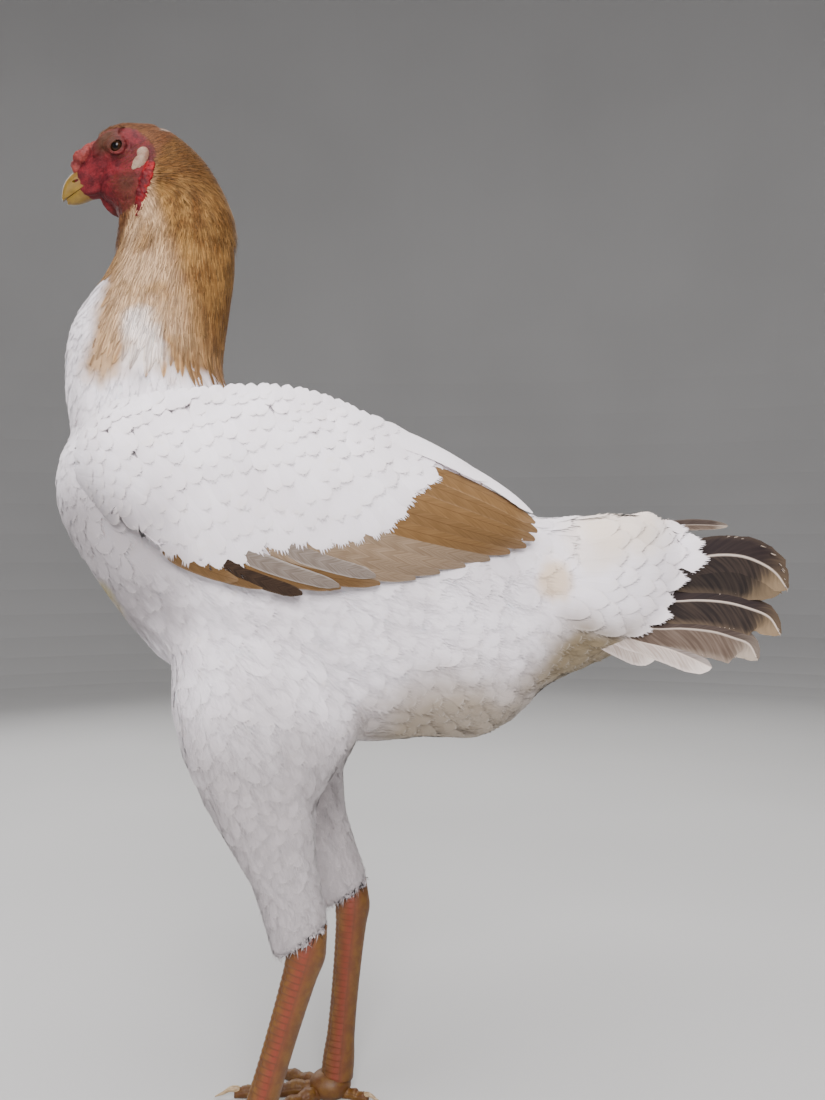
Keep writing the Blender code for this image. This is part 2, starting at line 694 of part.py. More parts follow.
def head_pieces(body, tree):
    """Head, eyes, bill, comb, earlobes and lappets, as nodes by name."""
    nodes = {}
    point, normal = cut_plane(HEAD_CUT)
    skull = half_of(body, "skull_all", point, normal)
    bill_point = in_head(BILL_CUT, 0, 0)
    head = half_of(skull, "head", bill_point, -FORWARD)
    bpy.data.objects.remove(skull)
    cutters = []
    for side in (-1, 1):
        centre = (EYE[0], -side * EYE[1], EYE[2])
        socket = head_ball("socket", centre, (EYE_BALL * 1.025 + GAP / MM,) * 3)
        opening = head_ball("opening", (centre[0], side * 24, centre[2]), (EYE_OPENING[0], 7.5, EYE_OPENING[1]), 0, 6, 2)
        cutters.append(fuse("socket_open", [socket, opening]))
        cutters.append(head_ball("ear", (-15, side * 20.5, -9.5), (3.2, 5.0, 2.6), 0, 20, 1))
    slit = []
    for u, half in ((GAPE_END, 0.12), (BILL_CUT + 3, 0.5)):
        slit.append([in_head(u, y, GAPE + v) for y, v in ((-25, -half), (25, -half), (25, half), (-25, half))])
    cutters.append(loft("mouth", slit))
    nodes["head"] = carve(head, cutters)
    for name, rows, base, hook in (("upper", BILL_UPPER, GAPE + 0.16, BILL_HOOK), ("lower", BILL_LOWER, GAPE - 0.16, (46.5, -10.6))):
        rings = []
        for u, edge, half in smooth_rows(rows, 2):
            ring = []
            for k in range(9):
                angle = math.pi * k / 8
                ring.append(in_head(u, half * math.cos(angle), base + (edge - base) * math.sin(angle) ** 0.8))
            rings.append(ring)
        rings.append([in_head(hook[0], 0.8 * math.cos(math.pi * k / 8), hook[1] + (1.2 if name == "upper" else -1.2) * math.sin(math.pi * k / 8)) for k in range(9)])
        whole = loft("bill_whole", rings)
        piece = half_of(whole, "bill_" + name, bill_point, FORWARD)
        bpy.data.objects.remove(whole)
        nodes["bill_" + name] = piece
    nostrils = [head_ball("nostril", (34.5, side * 7.2, -2.6), (2.6, 3.2, 0.95), 0, -14, 1) for side in (-1, 1)]
    carve(nodes["bill_upper"], nostrils)
    skin = grown(nodes["head"], GAP)
    lumps = (
        (30, 0, 6.2, 5.6, 5.2, 4.0),
        (24, 3.6, 8.4, 6.0, 5.4, 4.6),
        (24, -3.6, 8.8, 5.6, 5.0, 4.4),
        (17.5, 0.6, 9.6, 6.4, 5.8, 4.8),
        (12.5, -3.8, 8.8, 4.6, 4.6, 3.8),
        (12.5, 4.0, 8.6, 4.6, 4.4, 3.6),
        (33.6, 2.4, 3.6, 3.4, 3.6, 3.0),
        (33.4, -2.4, 3.8, 3.4, 3.4, 3.0),
    )
    comb = fuse("comb", [head_ball("lump", lump[:3], lump[3:], 0, 0, 1 if lump[3] < 5 else 2) for lump in lumps])
    nodes["comb"] = carve(comb, [skin, grown(nodes["bill_upper"], GAP)])
    for side, word in ((-1, "left"), (1, "right")):
        centre = (EYE[0], -side * EYE[1], EYE[2])
        nodes["eye_" + word] = head_ball("eye_" + word, centre, (EYE_BALL,) * 3)
        out = seat(tree, LOBE[0], LOBE[1], side) - 0.4
        lobe = head_ball("earlobe_" + word, (LOBE[0], side * out, LOBE[1]), (8.2, 3.4, 4.6), 0, 28)
        nodes["earlobe_" + word] = carve(lobe, [grown(nodes["head"], GAP)])
    return nodes


def seat(tree, u, v, side):
    """How far out the flesh reaches at u and v of the head's frame, in millimetres."""
    start = in_head(u, side * 70, v)
    hit = tree.ray_cast(start, -HEAD_RIGHT * side)[0]
    return (hit - HEAD_ORIGIN).dot(HEAD_RIGHT) * side / MM if hit else 0.0


def lappets(tree, head, neck, lobes):
    """A small red fold on each side of the throat, from the earlobe down."""
    made = {}
    for side, word in ((-1, "left"), (1, "right")):
        rings = []
        for u, v, across, thick in smooth_rows(LAPPET, 2):
            y = seat(tree, u, v, side) - 0.8
            out = HEAD_RIGHT * side * thick * MM
            rings.append(oval(in_head(u, side * y, v), FORWARD * across * MM, out, -out, 8))
        fold = loft("wattle_" + word, rings)
        made["wattle_" + word] = carve(fold, [grown(head, GAP), grown(neck, GAP), grown(lobes[word], GAP)])
    return made


def leg(word, torso):
    """Thigh, shank, foot, toes and claws of one side."""
    side, back, ankle_x = LEGS[word]
    nodes = {}
    rings = []
    for fx, fz, bx, bz, out, half in THIGH:
        rear = back * min(max((HIP_Z - (fz + bz) / 2) / (HIP_Z - HOCK[1]), 0), 1)
        front, behind = mm(fx + rear, side * out, fz), mm(bx + rear, side * out, bz)
        middle = (front + behind) / 2
        rings.append(oval(middle, mm(0, half, 0), front - middle, behind - middle, 14, 2.1))
    thigh = loft("thigh_" + word, rings)
    hock = mm(HOCK[0] + back, side * STANCE, HOCK[1])
    ankle = mm(ankle_x, side * STANCE, ANKLE_Z)
    down = (ankle - hock).normalized()
    front = down.cross(Vector((0, 1, 0))).normalized()
    if front.x > 0:
        front.negate()
    rings = []
    for share, depth, half in SHANK:
        middle = hock.lerp(ankle, share)
        rings.append(oval(middle, mm(0, half, 0), front * depth * MM, -front * depth * MM, 12, 2.2))
    shank = loft("shank_" + word, rings)
    pad = ball("pad", mm(ankle_x - 5, side * STANCE, 7.5), mm(15.5, 14.5, 11.0))
    foot = level_sole(pad, "foot_" + word)
    nodes["shank_" + word] = carve(shank, [grown(foot, GAP)])
    nodes["thigh_" + word] = carve(thigh, [grown(torso, GAP), grown(nodes["shank_" + word], GAP)])
    nodes["foot_" + word] = foot
    for toe, (turn, length, radius) in TOES.items():
        angle = math.radians(turn)
        ahead = Vector((-math.cos(angle), -side * math.sin(angle), 0))
        aside = Vector((0, 0, 1)).cross(ahead)
        start = mm(ankle_x - 5, side * STANCE, 0) + ahead * 7 * MM
        rings = []
        for share, size in TOE_SHAPE:
            r = radius * size * (1 - 0.22 * share)
            middle = start + ahead * (length - 4) * share * MM + mm(0, 0, r * 0.86)
            rings.append(oval(middle, aside * r * MM, mm(0, 0, r), mm(0, 0, -r), 8, 2.3))
        whole = loft("toe_whole", rings)
        name = "toe_" + word + "_" + toe
        made = [nodes[key] for key in nodes if key.startswith("toe_")]
        nodes[name] = carve(level_sole(whole, name), [grown(near, GAP) for near in (foot, *made)])
        reach = CLAW[toe]
        tip = start + ahead * (length - 8) * MM
        rings = []
        for k in range(5):
            share = k / 4
            r = radius * 0.52 * (1 - 0.86 * share)
            middle = tip + ahead * (reach + 4) * share * MM
            middle.z = (radius * 0.78 + 1.6 * math.sin(math.pi * min(share * 1.5, 1)) - (radius * 0.78 - 0.9) * share**2.2) * MM
            rings.append(oval(middle, aside * r * 0.8 * MM, mm(0, 0, r), mm(0, 0, -r * 0.8), 6))
        claw = loft("claw_" + word + "_" + toe, rings)
        nodes["claw_" + word + "_" + toe] = carve(claw, [grown(nodes[name], GAP)])
    return nodes


def level_sole(whole, name):
    """The shape above the floor, with a flat at z 0."""
    made = half_of(whole, name, mm(0, 0, -GAP / 2 / MM), Vector((0, 0, 1)))
    bpy.data.objects.remove(whole)
    return made


def build():
    """Makes every node, puts the origin under the middle of the bird and links them in its collection."""
    body = flesh()
    neck_point, neck_normal = cut_plane(NECK_CUT)
    head_point, head_normal = cut_plane(HEAD_CUT)
    trunk = half_of(body, "trunk_all", neck_point, -neck_normal)
    upper = half_of(body, "upper", neck_point, neck_normal)
    tail_point = mm(TAIL_CUT_X, 0, 0)
    torso = half_of(trunk, "torso", tail_point, Vector((-1, 0, 0)))
    stump = half_of(trunk, "tail_stump", tail_point, Vector((1, 0, 0)))
    neck = half_of(upper, "neck", head_point, -head_normal)
    nodes = {"torso": torso, "neck": neck}
    tree = BVHTree.FromPolygons([v.co for v in body.data.vertices], [tuple(f.vertices) for f in body.data.polygons])
    nodes.update(head_pieces(body, tree))
    nodes.update(lappets(tree, nodes["head"], neck, {word: nodes["earlobe_" + word] for word in ("left", "right")}))
    nodes["wing_left"] = wing(torso, neck)
    nodes["wing_right"] = mirrored(nodes["wing_left"], "wing_right")
    nodes["tail"] = tail(stump)
    for spare in (body, trunk, upper, stump):
        bpy.data.objects.remove(spare)
    for word in LEGS:
        nodes.update(leg(word, torso))
    return nodes


def finish(nodes):
    """Names, colours and centres the nodes, and clears everything else away."""
    collection = bpy.data.collections.new("malay_hen")
    bpy.context.scene.collection.children.link(collection)
    paints = {key: paint(key, colour, roughness) for key, (colour, roughness) in COLOURS.items()}
    points = [v.co for obj in nodes.values() for v in obj.data.vertices]
    low = Vector([min(p[k] for p in points) for k in range(3)])
    high = Vector([max(p[k] for p in points) for k in range(3)])
    shift = Vector((-(low.x + high.x) / 2, -(low.y + high.y) / 2, -low.z))
    kept = set(nodes.values())
    for obj in list(bpy.data.objects):
        if obj not in kept:
            bpy.data.objects.remove(obj)
    for name, obj in nodes.items():
        for owner in list(obj.users_collection):
            owner.objects.unlink(obj)
        collection.objects.link(obj)
        obj.data.transform(Matrix.Translation(shift))
        obj.name = name
        obj.data.name = name
        colour = paints[FINISH[name.split("_")[0]]].copy()
        colour.name = name
        obj.data.materials.clear()
        obj.data.materials.append(colour)
    print("shift in mm", [round(value * 1000, 2) for value in shift])
    print("size in mm", [round(value * 1000, 2) for value in high - low])
    return shift


for old in list(bpy.data.objects):
    bpy.data.objects.remove(old)
moved = finish(build())
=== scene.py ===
# %% [markdown]
# # A Malay hen, life size
# A Malay is a tall, hard-feathered fowl: a snake-like red face under a heavy brow, a long upright neck,
# high shoulders and long yellow legs. This one is white, with a golden-brown streaked hackle, tan
# secondaries and a grey-brown tail. The solids of the bird are a fixed frame in metres. Everything here is
# made over them: one skin with a bare face, and a coat of separate vanes that lies on the skin.

# %% Load the solids
import math

import bmesh
import bpy
import numpy as np
from mathutils import Matrix, Vector, noise
from mathutils.bvhtree import BVHTree


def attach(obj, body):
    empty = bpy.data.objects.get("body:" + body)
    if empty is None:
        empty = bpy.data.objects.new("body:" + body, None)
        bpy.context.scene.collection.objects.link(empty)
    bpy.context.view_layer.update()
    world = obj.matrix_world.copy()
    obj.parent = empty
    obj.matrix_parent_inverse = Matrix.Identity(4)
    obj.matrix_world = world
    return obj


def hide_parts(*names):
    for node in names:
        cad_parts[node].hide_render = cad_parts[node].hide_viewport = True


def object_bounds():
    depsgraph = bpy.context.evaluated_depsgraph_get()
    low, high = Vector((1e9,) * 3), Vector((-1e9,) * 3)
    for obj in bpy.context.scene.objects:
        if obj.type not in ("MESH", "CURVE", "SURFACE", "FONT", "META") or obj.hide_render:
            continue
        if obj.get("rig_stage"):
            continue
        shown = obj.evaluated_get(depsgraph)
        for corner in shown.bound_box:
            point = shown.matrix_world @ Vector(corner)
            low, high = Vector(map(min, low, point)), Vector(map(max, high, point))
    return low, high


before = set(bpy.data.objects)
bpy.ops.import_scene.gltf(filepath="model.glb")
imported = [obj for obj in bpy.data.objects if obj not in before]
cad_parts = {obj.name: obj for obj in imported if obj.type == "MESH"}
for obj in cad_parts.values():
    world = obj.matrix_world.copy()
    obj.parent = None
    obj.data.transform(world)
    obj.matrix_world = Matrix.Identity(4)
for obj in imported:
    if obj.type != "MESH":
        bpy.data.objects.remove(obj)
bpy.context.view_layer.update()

MM = 0.001
# The bird's left side is towards -Y. Pieces made for the left are mirrored for the right.
SIDES = ((-1, "left"), (1, "right"))
HALVES = (("left", False), ("right", True))

# %% [markdown]
# ## Camera, floor and light
# The bird stands side on, about 0.73 m from the camera, which looks level at the height of the wing. The
# floor is a pale dish that curves up all round, so that no horizon shows from any side. Feathers show
# their edges only in light that grazes them, so a broad light hangs over the near side, with a smaller key
# light beside it and a weak fill from the front. Two lights behind keep the back and the far side readable.

# %% Camera, floor and light
SENSOR, LENS = 36, 35
CAMERA_PLACE = (-0.0082, -0.73, 0.395)
ROOM_LIGHT = 0.19
FLOOR_RADIUS, FLOOR_RIM, FLOOR_HEIGHT = 2.4, 3.6, 3.0

camera = bpy.data.objects.new("camera", bpy.data.cameras.new("camera"))
bpy.context.scene.collection.objects.link(camera)
camera.data.sensor_width, camera.data.lens = SENSOR, LENS
camera.location = CAMERA_PLACE
camera.rotation_euler = (math.radians(90), 0, 0)
bpy.context.scene.camera = camera


def area_light(name, place, aim, size, watts, colour):
    """A square soft light at a place, turned to an aim point."""
    light = bpy.data.objects.new(name, bpy.data.lights.new(name, "AREA"))
    bpy.context.scene.collection.objects.link(light)
    light.data.size, light.data.energy, light.data.color = size, watts, colour
    light.location = place
    light.rotation_euler = (Vector(aim) - Vector(place)).to_track_quat("-Z", "Y").to_euler()
    return light


area_light("key", (0.02, -0.95, 0.78), (0, 0, 0.44), 0.4, 13, (1.0, 0.965, 0.975))
area_light("top", (-0.1, -0.45, 1.7), (0, 0, 0.4), 1.2, 26, (1.0, 0.975, 0.985))
area_light("fill", (-1.5, -1.3, 0.9), (0, 0, 0.45), 1.2, 9, (0.98, 0.96, 1.0))
area_light("rim", (0.5, 1.5, 1.7), (0, 0, 0.4), 1.0, 22, (1.0, 0.98, 0.95))
area_light("far_side", (-1.0, 1.3, 1.1), (0, 0, 0.35), 1.2, 14, (1.0, 0.98, 0.98))

world = bpy.data.worlds.new("room")
world.use_nodes = True
world.node_tree.nodes["Background"].inputs["Color"].default_value = (1.0, 0.975, 1.0, 1)
world.node_tree.nodes["Background"].inputs["Strength"].default_value = ROOM_LIGHT
bpy.context.scene.world = world


def dish(radius, rim, height, turns=96, steps=14):
    """A round floor whose edge curves up into a wall."""
    profile = [(0.0, 0.0), (radius, 0.0)]
    for k in range(1, steps + 1):
        angle = math.pi / 2 * k / steps
        profile.append((radius + (rim - radius) * math.sin(angle), (rim - radius) * (1 - math.cos(angle))))
    profile.append((rim, height))
    bm = bmesh.new()
    rings = []
    for r, z in profile[1:]:
        ways = [(math.cos(math.tau * k / turns), math.sin(math.tau * k / turns)) for k in range(turns)]
        rings.append([bm.verts.new((r * c, r * s, z)) for c, s in ways])
    bm.faces.new(rings[0])
    for near, far in zip(rings, rings[1:]):
        for k in range(turns):
            bm.faces.new((near[k - 1], near[k], far[k], far[k - 1]))
    mesh = bpy.data.meshes.new("floor")
    bm.to_mesh(mesh)
    bm.free()
    return mesh


floor = bpy.data.objects.new("floor", dish(FLOOR_RADIUS, FLOOR_RIM, FLOOR_HEIGHT))
bpy.context.scene.collection.objects.link(floor)
floor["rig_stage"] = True
print("camera at", tuple(round(v, 4) for v in camera.location), "and", len(floor.data.polygons), "floor faces")

# %% [markdown]
# ## A small language for materials
# Every finish is a node graph. Wiring it by hand hides what it does, so a short helper puts each node down
# and connects its inputs in one line. An input may be a number, a colour, or another node's output.

# %% Node helper


class Graph:
    """Puts down nodes in one tree and wires them as they are made."""

    def __init__(self, tree):
        self.tree = tree

    def put(self, kind, inputs=(), **settings):
        node = self.tree.nodes.new(kind)
        for key, value in settings.items():
            setattr(node, key, value)
        for key, value in dict(inputs).items():
            socket = node.inputs[key]
            if isinstance(value, bpy.types.NodeSocket):
                self.tree.links.new(value, socket)
            else:
                socket.default_value = (*value, 1) if socket.type == "RGBA" and len(value) == 3 else value
        return node

    def math(self, operation, *values, clamp=False):
        return self.put(
            "ShaderNodeMath", dict(enumerate(values)), operation=operation, use_clamp=clamp
        ).outputs[0]

    def mix(self, share, a, b, blend="MIX"):
        node = self.put("ShaderNodeMix", {0: share, 6: a, 7: b}, data_type="RGBA", blend_type=blend)
        return node.outputs[2]

    def span(self, value, low, high, start=0.0, end=1.0):
        """A smooth step of a value from low to high, giving start to end."""
        inputs = {"Value": value, "From Min": low, "From Max": high, "To Min": start, "To Max": end}
        return self.put("ShaderNodeMapRange", inputs, interpolation_type="SMOOTHSTEP").outputs[0]

    def noise(self, vector, scale, detail=3.0, rough=0.5):
        inputs = {"Vector": vector, "Scale": scale, "Detail": detail, "Roughness": rough}
        return self.put("ShaderNodeTexNoise", inputs).outputs[0]

    def split(self, vector):
        return self.put("ShaderNodeSeparateXYZ", {0: vector}).outputs

    def add(self, *values):
        return self.math("ADD", *values)

    def minus(self, *values, clamp=False):
        return self.math("SUBTRACT", *values, clamp=clamp)

    def times(self, *values):
        return self.math("MULTIPLY", *values)

    def read(self, name):
        """A value kept on the mesh's points."""
        return self.put("ShaderNodeAttribute", attribute_name=name).outputs["Fac"]

    def group(self, tree, inputs):
        """The outputs of a group's node, whose named sockets are filled once its tree is set."""
        node = self.put("ShaderNodeGroup", node_tree=tree)
        self.feed(node.inputs, inputs)
        return node.outputs

    def feed(self, sockets, values):
        """Wires outputs, or sets numbers, on named sockets."""
        for key, value in values.items():
            if isinstance(value, bpy.types.NodeSocket):
                self.tree.links.new(value, sockets[key])
            else:
                sockets[key].default_value = value

    def bump(self, height, strength, distance):
        inputs = {"Height": height, "Strength": strength, "Distance": distance}
        return self.put("ShaderNodeBump", inputs).outputs[0]


def node_group(name, inputs, outputs):
    """An empty shader group with named sockets: (kind, name, default) in, (kind, name) out."""
    tree = bpy.data.node_groups.new(name, "ShaderNodeTree")
    for kind, label, default in inputs:
        socket = tree.interface.new_socket(label, in_out="INPUT", socket_type="NodeSocket" + kind)
        if default is not None:
            socket.default_value = default
    for kind, label in outputs:
        tree.interface.new_socket(label, in_out="OUTPUT", socket_type="NodeSocket" + kind)
    graph = Graph(tree)
    entry = graph.put("NodeGroupInput").outputs
    leave = tree.nodes.new("NodeGroupOutput").inputs
    return graph, entry, leave


def finish_of(name, **plain):
    """A material with a Principled shader whose plain numbers are set on its own sockets."""
    material = bpy.data.materials.new(name)
    material.use_nodes = True
    graph = Graph(material.node_tree)
    shader = material.node_tree.nodes["Principled BSDF"]
    for key, value in plain.items():
        shader.inputs[key.replace("_", " ")].default_value = value
    return material, graph, shader


def let_light_in(shader, weight, radius, scale):
    """Lets light pass under the surface: its share, its reach in red, green and blue, and its depth in metres."""
    shader.inputs["Subsurface Weight"].default_value = weight
    shader.inputs["Subsurface Radius"].default_value = radius
    shader.inputs["Subsurface Scale"].default_value = scale


def place_on_bird(graph):
    """The point's place on the bird, in metres, as an output."""
    return graph.put("ShaderNodeTexCoord").outputs["Object"]


floor_finish, g, shader = finish_of("pale_floor", Roughness=0.9)
cloudy = g.noise(place_on_bird(g), 1.3, 2.0)
g.tree.links.new(
    g.mix(g.span(cloudy, 0.3, 0.7), (0.55, 0.55, 0.545), (0.59, 0.59, 0.585)), shader.inputs["Base Color"]
)
floor.data.materials.append(floor_finish)
print("made the node helper and", floor_finish.name)

# %% [markdown]
# ## The markings
# The skin and the coat share one set of markings, so that a gap between two vanes shows the same colour
# below. The markings depend only on the place on the bird. The hackle is golden brown from the nape down to
# a slanting edge over the shoulders, paler along the middle of the neck's side. The rest is white, with
# cream patches on the rump and a yellow-brown stain under the tail. Grey painted shade darkens the lower
# breast and the thighs, and the low belly is darkened to brown, partly a stain and partly painted shade.

# %% Markings group
MARKS = [("Color", "Colour"), ("Color", "White"), ("Color", "Gold"), ("Float", "Hackle")]
g, entry, leave = node_group("hen_markings_and_painted_shade", [("Vector", "Place", None)], MARKS)
place = entry["Place"]
x, y, z = g.split(place)[:3]
broad = g.noise(place, 28, 3.0)
fine = g.noise(place, 95, 4.0, 0.6)
wander = g.times(g.minus(broad, 0.5), 0.03)
# The hackle's lower edge runs at 0.508 m over the shoulder, and white shows in front of a slanting line.
above = g.span(g.add(z, g.times(wander, 1.4)), 0.500, 0.514)
front_line = g.add(g.times(g.minus(z, 0.555), 0.2), -0.214)
behind_front = g.span(g.add(g.minus(x, front_line), wander), -0.008, 0.008)
high = g.span(z, 0.575, 0.59)
hackle = g.times(above, g.math("MAXIMUM", behind_front, high))
hackle = g.times(hackle, g.span(x, -0.108, -0.116))
gold = g.mix(g.span(fine, 0.33, 0.66), (0.125, 0.053, 0.011), (0.295, 0.158, 0.047))
# A paler band runs down the middle of the neck's side and widens towards the shoulder.
band = g.math("ABSOLUTE", g.add(x, 0.186))
half_band = g.add(0.008, g.times(g.minus(0.632, z, clamp=True), 0.3))
inside = g.span(g.add(g.math("DIVIDE", band, half_band), g.times(wander, 22.0)), 1.5, 0.35)
pale_middle = g.times(inside, g.span(broad, 0.34, 0.56, 0.25, 0.85))
gold = g.mix(pale_middle, gold, (0.55, 0.37, 0.22))
gold = g.mix(g.span(x, -0.158, -0.14, 0.0, 0.45), gold, (0.16, 0.075, 0.02))
gold = g.mix(g.times(g.span(z, 0.612, 0.66), 0.85), gold, (0.085, 0.034, 0.006))
throat_line = g.add(g.times(g.minus(z, 0.6387), 0.475), -0.186)
rusty = g.times(g.span(g.minus(throat_line, x), -0.003, 0.003), g.span(z, 0.580, 0.592))
gold = g.mix(g.times(rusty, 0.85), gold, (0.11, 0.04, 0.014))
white = g.mix(g.span(broad, 0.35, 0.7), (0.87, 0.81, 0.85), (0.94, 0.89, 0.94))
white = g.mix(g.span(fine, 0.56, 0.8, 0, 0.4), white, (0.86, 0.77, 0.68))


def patch(centre, reach, colour, share, under):
    """A soft round patch of a colour about a place, blended over what is under it."""
    gap = g.put("ShaderNodeVectorMath", {0: place, 1: centre}, operation="SUBTRACT").outputs[0]
    flat = g.put("ShaderNodeVectorMath", {0: gap, 1: (1, 0.25, 1)}, operation="MULTIPLY").outputs[0]
    far = g.put("ShaderNodeVectorMath", {0: flat}, operation="LENGTH").outputs["Value"]
    amount = g.span(g.add(far, wander), reach, reach * 0.45, 0, share)
    return g.mix(amount, under, colour)


# Centre, reach, colour and share of each patch; later ones lie over the ones before.
WHITE_PATCHES = (
    ((0.086, 0, 0.378), 0.02, (0.80, 0.60, 0.38), 0.75),
    ((0.135, 0, 0.418), 0.04, (0.80, 0.67, 0.52), 0.7),
    ((0.112, 0, 0.398), 0.03, (0.86, 0.74, 0.62), 0.5),
    ((0.112, 0, 0.308), 0.058, (0.16, 0.11, 0.026), 0.9),
    # Painted shade: grey over the thighs, then over the lower front of the breast.
    ((-0.09, 0, 0.200), 0.14, (0.37, 0.335, 0.335), 0.8),
    ((-0.205, 0, 0.380), 0.08, (0.28, 0.25, 0.255), 0.75),
    # Darker brown on the low belly: partly a yellow-brown stain, partly painted shade.
    ((0.020, 0, 0.255), 0.085, (0.21, 0.155, 0.065), 0.8),
    ((-0.185, 0, 0.503), 0.014, (0.25, 0.22, 0.2), 0.45),
    ((-0.214, 0, 0.366), 0.016, (0.48, 0.40, 0.16), 0.8),
    ((-0.205, 0, 0.352), 0.014, (0.48, 0.40, 0.16), 0.8),
)
GOLD_PATCHES = (
    ((-0.1737, 0, 0.683), 0.006, (0.72, 0.62, 0.52), 0.8),
    ((-0.186, 0, 0.540), 0.020, (0.86, 0.78, 0.74), 0.9),
    ((-0.182, 0, 0.520), 0.018, (0.86, 0.78, 0.74), 0.9),
)
for row in WHITE_PATCHES:
    white = patch(*row, white)
for row in GOLD_PATCHES:
    gold = patch(*row, gold)
g.tree.links.new(g.mix(hackle, white, gold), leave["Colour"])
g.feed(leave, {"White": white, "Gold": gold, "Hackle": hackle})
hen_markings_and_painted_shade = g.tree
print("markings group of", len(g.tree.nodes), "nodes")

# %% [markdown]
# ## One vane's own detail
# A vane is a shaft with barbs that slant towards its tip on both sides. At this size the barbs are a fine
# sheen rather than lines, but the vane still has a rim, a tip and a thin shaft that can each take their own
# colour. A group reads the vane's own map, across and along it, and gives those masks and a height for bump.

# %% Barb group
BARB_IN = [("Vector", "Vane map", None), ("Float", "Barbs per vane", 60.0), ("Float", "Shaft width", 0.05)]
BARB_OUT = [("Float", "Shaft"), ("Float", "Rim"), ("Float", "Tip"), ("Float", "Height"), ("Float", "Streak")]
g, entry, leave = node_group("vane_barbs", BARB_IN, BARB_OUT)
across, along = g.split(entry["Vane map"])[:2]
off_shaft = g.times(g.math("ABSOLUTE", g.minus(across, 0.5)), 2.0)
slant = g.minus(along, g.times(off_shaft, 0.16))
wave = g.math("SINE", g.times(g.times(slant, entry["Barbs per vane"]), math.tau))
shaft = g.minus(1.0, g.math("DIVIDE", off_shaft, entry["Shaft width"]), clamp=True)
ragged = g.noise(g.put("ShaderNodeCombineXYZ", {0: g.times(slant, 40.0), 1: off_shaft}).outputs[0], 1.0, 2.0)
g.feed(leave, {"Shaft": shaft})
g.tree.links.new(g.span(g.add(off_shaft, g.times(ragged, 0.25)), 0.82, 1.12), leave["Rim"])
g.tree.links.new(g.span(g.add(along, g.times(ragged, 0.12)), 0.86, 1.06), leave["Tip"])
g.tree.links.new(g.add(g.times(wave, 0.35), g.times(shaft, 2.5)), leave["Height"])
g.feed(leave, {"Streak": ragged})
vane_barbs = g.tree
print("barb group of", len(g.tree.nodes), "nodes")

# %% [markdown]
# ## Feather finishes
# One function makes each feather finish from the two groups: a base colour, the colours of the vane's middle
# streak, rim and tip, and how much each one shows. A random number kept on every vane shifts its shade, as
# no two feathers of a bird bleach alike. The sheen is a plain number.

# %% Feather finishes


def feather_finish(
    name, base="Colour", middle=None, rim=None, tip=None, shaft=None, vary=0.12, barbs=60.0, shaft_width=0.05,
    sheen=0.06, upper=None
):
    """A feather material. The base is two colours or a marking; each of the rest is a colour and its share."""
    made, g, shader = finish_of(name, Roughness=0.72, Sheen_Weight=sheen, Sheen_Roughness=0.4)
    shader.inputs["Specular IOR Level"].default_value = 0.2
    vane_map = g.put("ShaderNodeUVMap", uv_map="vane").outputs[0]
    tint = g.read("tint")
    vane = g.group(vane_barbs, {"Vane map": vane_map, "Barbs per vane": barbs, "Shaft width": shaft_width})
    if isinstance(base, str):
        colour = g.group(hen_markings_and_painted_shade, {"Place": place_on_bird(g)})[base]
    else:
        colour = g.mix(g.span(vane["Streak"], 0.3, 0.7), base[0], base[1])
    for part, key in ((middle, None), (rim, "Rim"), (tip, "Tip"), (shaft, "Shaft")):
        if part:
            if key is None:
                across = g.split(vane_map)[0]
                near = g.math("ABSOLUTE", g.minus(across, 0.5))
                mask = g.times(g.span(near, 0.34, 0.08), g.span(vane["Streak"], 0.2, 0.6, 0.5, 1.0))
            else:
                mask = vane[key]
            colour = g.mix(g.times(mask, part[1]), colour, part[0])
    # Painted shadow: upper darkens the half of the vane above its shaft, as if shaded by the feather lying over it.
    if upper:
        colour = g.mix(g.span(g.split(vane_map)[0], 0.48, 0.56, 0, upper[1]), colour, upper[0])
    shade = g.add(1.0 - vary, g.times(tint, 2 * vary))
    grey = g.put("ShaderNodeCombineColor", {0: shade, 1: shade, 2: shade}).outputs[0]
    g.tree.links.new(g.mix(1.0, colour, grey, "MULTIPLY"), shader.inputs["Base Color"])
    g.feed(shader.inputs, {"Normal": g.bump(vane["Height"], 0.25, 0.0002)})
    return made


white_vane = feather_finish("white_vane", tip=((0.84, 0.79, 0.76), 0.2), vary=0.05, sheen=0.2)
covert_vane = feather_finish(
    "covert_vane", "White", rim=((0.80, 0.73, 0.70), 0.25), tip=((0.80, 0.73, 0.69), 0.25), vary=0.05,
    sheen=0.15
)
hackle_vane = feather_finish(
    "hackle_vane", "Gold", middle=((0.10, 0.038, 0.007), 0.45), rim=((0.55, 0.36, 0.16), 0.4), vary=0.35,
    barbs=40.0, shaft_width=0.1
)
nape_tuft = feather_finish("nape_tuft", "Gold", vary=0.45, barbs=1.0)
down_tuft = feather_finish("down_tuft", vary=0.05, barbs=1.0, sheen=0.2)
tan_vane = feather_finish(
    "tan_vane",
    base=((0.145, 0.078, 0.027), (0.185, 0.103, 0.040)),
    rim=((0.31, 0.205, 0.12), 0.6),
    tip=((0.31, 0.20, 0.11), 0.4),
    shaft=((0.09, 0.04, 0.012), 0.7),
    vary=0.2,
    barbs=110.0,
    shaft_width=0.06,
)
TAIL_SHADES = {
    "tail_vane": ((0.012, 0.008, 0.007), (0.034, 0.023, 0.017), (0.12, 0.085, 0.055), (0.24, 0.17, 0.10)),
    "mid_tail_vane": ((0.085, 0.058, 0.042), (0.15, 0.11, 0.085), (0.30, 0.24, 0.19), (0.42, 0.35, 0.28)),
    "pale_tail_vane": ((0.36, 0.29, 0.25), (0.52, 0.45, 0.40), (0.66, 0.58, 0.54), (0.70, 0.62, 0.56)),
}
